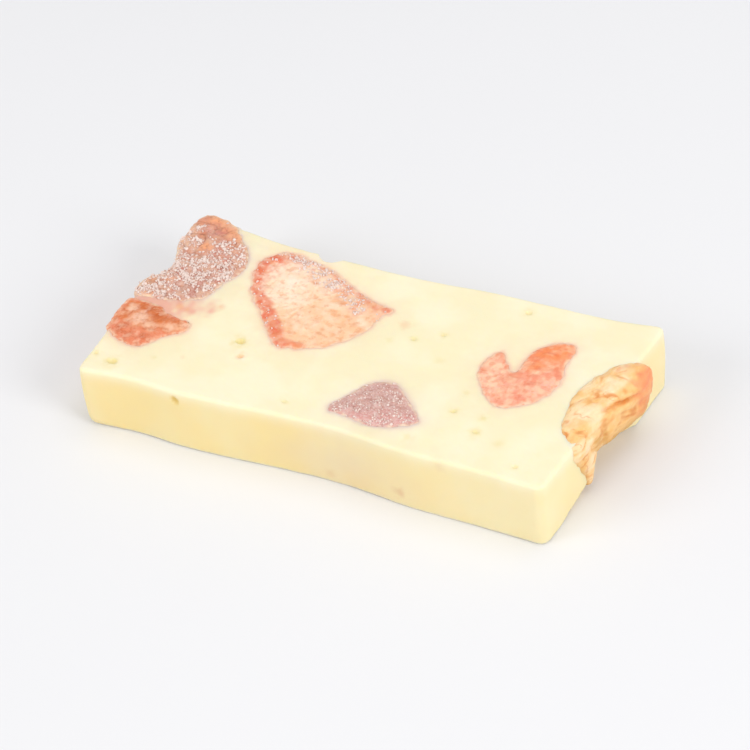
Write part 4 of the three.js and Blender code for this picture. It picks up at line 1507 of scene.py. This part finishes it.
def fruit_material(name, paints):
    """Cut dried fruit: mottled flesh, a strong rim, pale and dark patches, the dark partly painted
    shade in the creases of its folds, and dust over them.
    """
    tree = Tree(name)
    flesh, rim, pale, dark, warm, dust = (colour(*paint) for paint in paints)
    base = tree.blend(tree.mask("warm"), flesh, warm)
    base = tree.blend(tree.mask("pale"), base, pale)
    base = tree.blend(tree.mask("rim"), base, rim)
    # dark patches, partly painted shade in the creases of the folds
    base = tree.blend(tree.mask("dark", 0.75), base, dark)
    light = tree.step(tree.noise(1.4, 3, rough=0.6), 0.46, 0.64)
    cooler = tree.math("SUBTRACT", 0.45, tree.mask("warm", 0.3))
    base = tree.blend(tree.math("MULTIPLY", light, cooler), base, pale)
    deep = tree.step(tree.noise(1.1, 3, rough=0.6), 0.5, 0.68)
    base = tree.blend(tree.math("MULTIPLY", deep, 0.4), base, dark)
    powder = tree.step(tree.noise(0.32, 3, rough=0.7), 0.38, 0.62)
    powder = tree.math("MULTIPLY", powder, tree.mask("dust", 0.6))
    base = tree.blend(powder, base, dust)
    edge = tree.math("MULTIPLY", tree.mask("edge", 0.7), tree.step(tree.noise(0.8, 3), 0.3, 0.6))
    base = tree.blend(edge, base, PALE_EDGE)
    soft(tree, 0.15, 0.6)
    tree.bump(tree.math("ADD", tree.noise(0.28, 4), powder), 0.5, 0.06)
    return tree.surface(base, 0.62, Specular_IOR_Level=0.3)


# The same for the folded slice, whose tints include painted shade and painted highlights.
END_TINTS = [
    # partly painted highlight on the ridges, partly pale flesh
    ("pale", 0.75, colour(253, 234, 202)),
    ("amber", 0.8, colour(240, 182, 100)),
    # painted shade in the creases
    ("crease_shade", 0.88, colour(220, 136, 62)),
    ("red", 0.86, colour(238, 136, 94)),
    # painted shade on the underside
    ("under", 0.85, colour(206, 152, 74)),
]


def end_material():
    tree = Tree("strawberry_folded")
    fibre = tree.step(tree.noise(0.5, 4, (1, 0.5, 1), 0.6), 0.3, 0.7)
    base = tree.blend(fibre, colour(246, 197, 132), colour(250, 214, 160))
    for mask, share, tint in END_TINTS:
        base = tree.blend(tree.mask(mask, share), base, tint)
    soft(tree, 0.25, 0.9)
    tree.bump(tree.noise(0.3, 4), 0.4, 0.06)
    return tree.surface(base, 0.5, Specular_IOR_Level=0.4)


def grain_material():
    tree = Tree("milk_powder")
    base = tree.blend(tree.mask("shade"), colour(246, 232, 224), colour(220, 192, 182))
    base = tree.blend(tree.noise(0.25, 2), base, colour(236, 216, 206))
    return tree.surface(base, 0.5)


def floor_material():
    tree = Tree("floor_pale")
    base = tree.blend(tree.noise(60, 2), colour(232, 232, 234), colour(234, 234, 236))
    return tree.surface(base, 0.7, Specular_IOR_Level=0.2)


# ---------------------------------------------------------------- the bar in the frame

SHARP = math.radians(50)

# The colours of each: flesh, rim, pale, dark (also painted crease shade), warm and dust.
PAINTS = {
    "cranberry_corner": [
        (200, 142, 122), (200, 118, 106), (234, 194, 162),
        (160, 96, 74), (247, 172, 126), (234, 212, 204),
    ],
    "strawberry_left": [
        (218, 118, 60), (230, 130, 92), (243, 196, 164),
        (188, 86, 32), (246, 180, 130), (244, 196, 174),
    ],
    "strawberry_slice": [
        (247, 208, 170), (229, 114, 78), (252, 234, 212),
        (224, 138, 84), (246, 196, 154), (228, 196, 184),
    ],
    "cranberry_small": [
        (200, 150, 140), (214, 150, 144), (226, 182, 168),
        (172, 118, 104), (220, 146, 138), (234, 214, 208),
    ],
    "strawberry_notched": [
        (243, 163, 134), (244, 156, 124), (251, 208, 172),
        (228, 120, 80), (246, 144, 88), (250, 188, 174),
    ],
}
# The grains on each piece: name, how many, seed, and their least and greatest size.
GRAINS = {
    "cranberry_corner": ("grains_on_corner_cranberry", 1700, 1, (0.18, 0.5)),
    "strawberry_slice": ("grains_on_strawberry_slice", 520, 2, (0.15, 0.42)),
    "cranberry_small": ("grains_on_small_cranberry", 420, 3, (0.14, 0.36)),
}


def finish_piece(made, material, node=None):
    """Moves a piece from the plan in millimetres into the frame, and dresses it."""
    points = places_of(made)
    points[:, :2] -= PLAN_MIDDLE
    put_places(made, points / 1000)
    made.data.materials.clear()
    made.data.materials.append(material)
    made.data.polygons.foreach_set("use_smooth", [True] * len(made.data.polygons))
    made.data.set_sharp_from_angle(angle=SHARP)
    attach(made, "root")
    if node:
        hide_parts(node)


nougat = build_nougat()
flesh = {name: build_through_fruit(name) for name in FRUIT}
end_flesh = build_end_fruit()
grains = {name: grains_on(flesh[name], *facts) for name, facts in GRAINS.items()}

cad_low, cad_high = (np.array(corner)[:2] * 1000 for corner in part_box("nougat"))
plan_places = places_of(nougat)[:, :2]
PLAN_MIDDLE = (plan_places.min(axis=0) + plan_places.max(axis=0)) / 2 - (cad_low + cad_high) / 2

finish_piece(nougat, nougat_material(), "nougat")
for name, piece in flesh.items():
    finish_piece(piece, fruit_material(f"{name}_cut", PAINTS[name]), name)
finish_piece(end_flesh, end_material(), "strawberry_end")
powder_white = grain_material()
for name, piece in grains.items():
    finish_piece(piece, powder_white)

# ---------------------------------------------------------------- floor, light and camera, metres

FLOOR = {"half": 3.0, "rows": 48, "bends_at": 1.5, "bend": 0.25}
WORLD_LIGHT = 0.62
# Round lamps that point at the origin: name, place, diameter and power.
LAMPS = [
    ("overhead", (0.1, 0.05, 0.7), 0.6, 1.3),
    ("front_left", (-0.5, -0.6, 0.45), 0.5, 2.2),
    ("right", (0.7, -0.2, 0.4), 0.4, 2.6),
]

# Where the camera is in the plan, what it looks at in the frame, both in millimetres, and how far
# its right side dips below level.
CAMERA_AT = (130.1, -212.5, 213.3)
CAMERA_AIM = (0.0, 0.0, 4.4)
CAMERA_ROLL = math.radians(7.3)
LENS = 121
SENSOR = 36
NEAREST = 0.01  # what is closer isn't drawn


def build_floor():
    """A pale floor that curves up far behind."""
    half, rows = FLOOR["half"], FLOOR["rows"]
    depth = np.linspace(-half, 2 * half, rows)
    behind = depth - FLOOR["bends_at"]
    rise = np.where(behind > 0, behind**2 * FLOOR["bend"], 0)
    left = np.stack([np.full(rows, -2 * half), depth, rise], axis=1)
    right = left * [-1, 1, 1]
    faces = [(i, rows + i, rows + i + 1, i + 1) for i in range(rows - 1)]
    floor = mesh_of("floor", np.concatenate([left, right]), faces)
    floor.data.materials.append(floor_material())


def build_world():
    world = bpy.data.worlds.new("studio")
    world.use_nodes = True
    background = world.node_tree.nodes["Background"]
    background.inputs["Color"].default_value = (1, 1, 1, 1)
    background.inputs["Strength"].default_value = WORLD_LIGHT
    bpy.context.scene.world = world


def build_lamp(name, at, size, power):
    light = bpy.data.lights.new(name, "AREA")
    light.shape = "DISK"
    light.size = size
    light.energy = power
    lamp = bpy.data.objects.new(name, light)
    lamp.location = at
    lamp.rotation_euler = Vector(at).to_track_quat("Z", "Y").to_euler()
    bpy.context.scene.collection.objects.link(lamp)


def build_camera():
    camera = bpy.data.cameras.new("camera")
    camera.lens = LENS
    camera.sensor_width = SENSOR
    camera.clip_start = NEAREST
    holder = bpy.data.objects.new("camera", camera)
    at = np.array(CAMERA_AT)
    at[:2] -= PLAN_MIDDLE
    holder.location = at / 1000
    back = holder.location - Vector(CAMERA_AIM) / 1000
    level = back.to_track_quat("Z", "Y").to_matrix()
    roll = Matrix.Rotation(-CAMERA_ROLL, 3, "Z")
    holder.rotation_euler = (level @ roll).to_euler()
    bpy.context.scene.collection.objects.link(holder)
    bpy.context.scene.camera = holder


build_floor()
build_world()
for lamp in LAMPS:
    build_lamp(*lamp)
build_camera()
bpy.context.scene.view_settings.view_transform = "Standard"
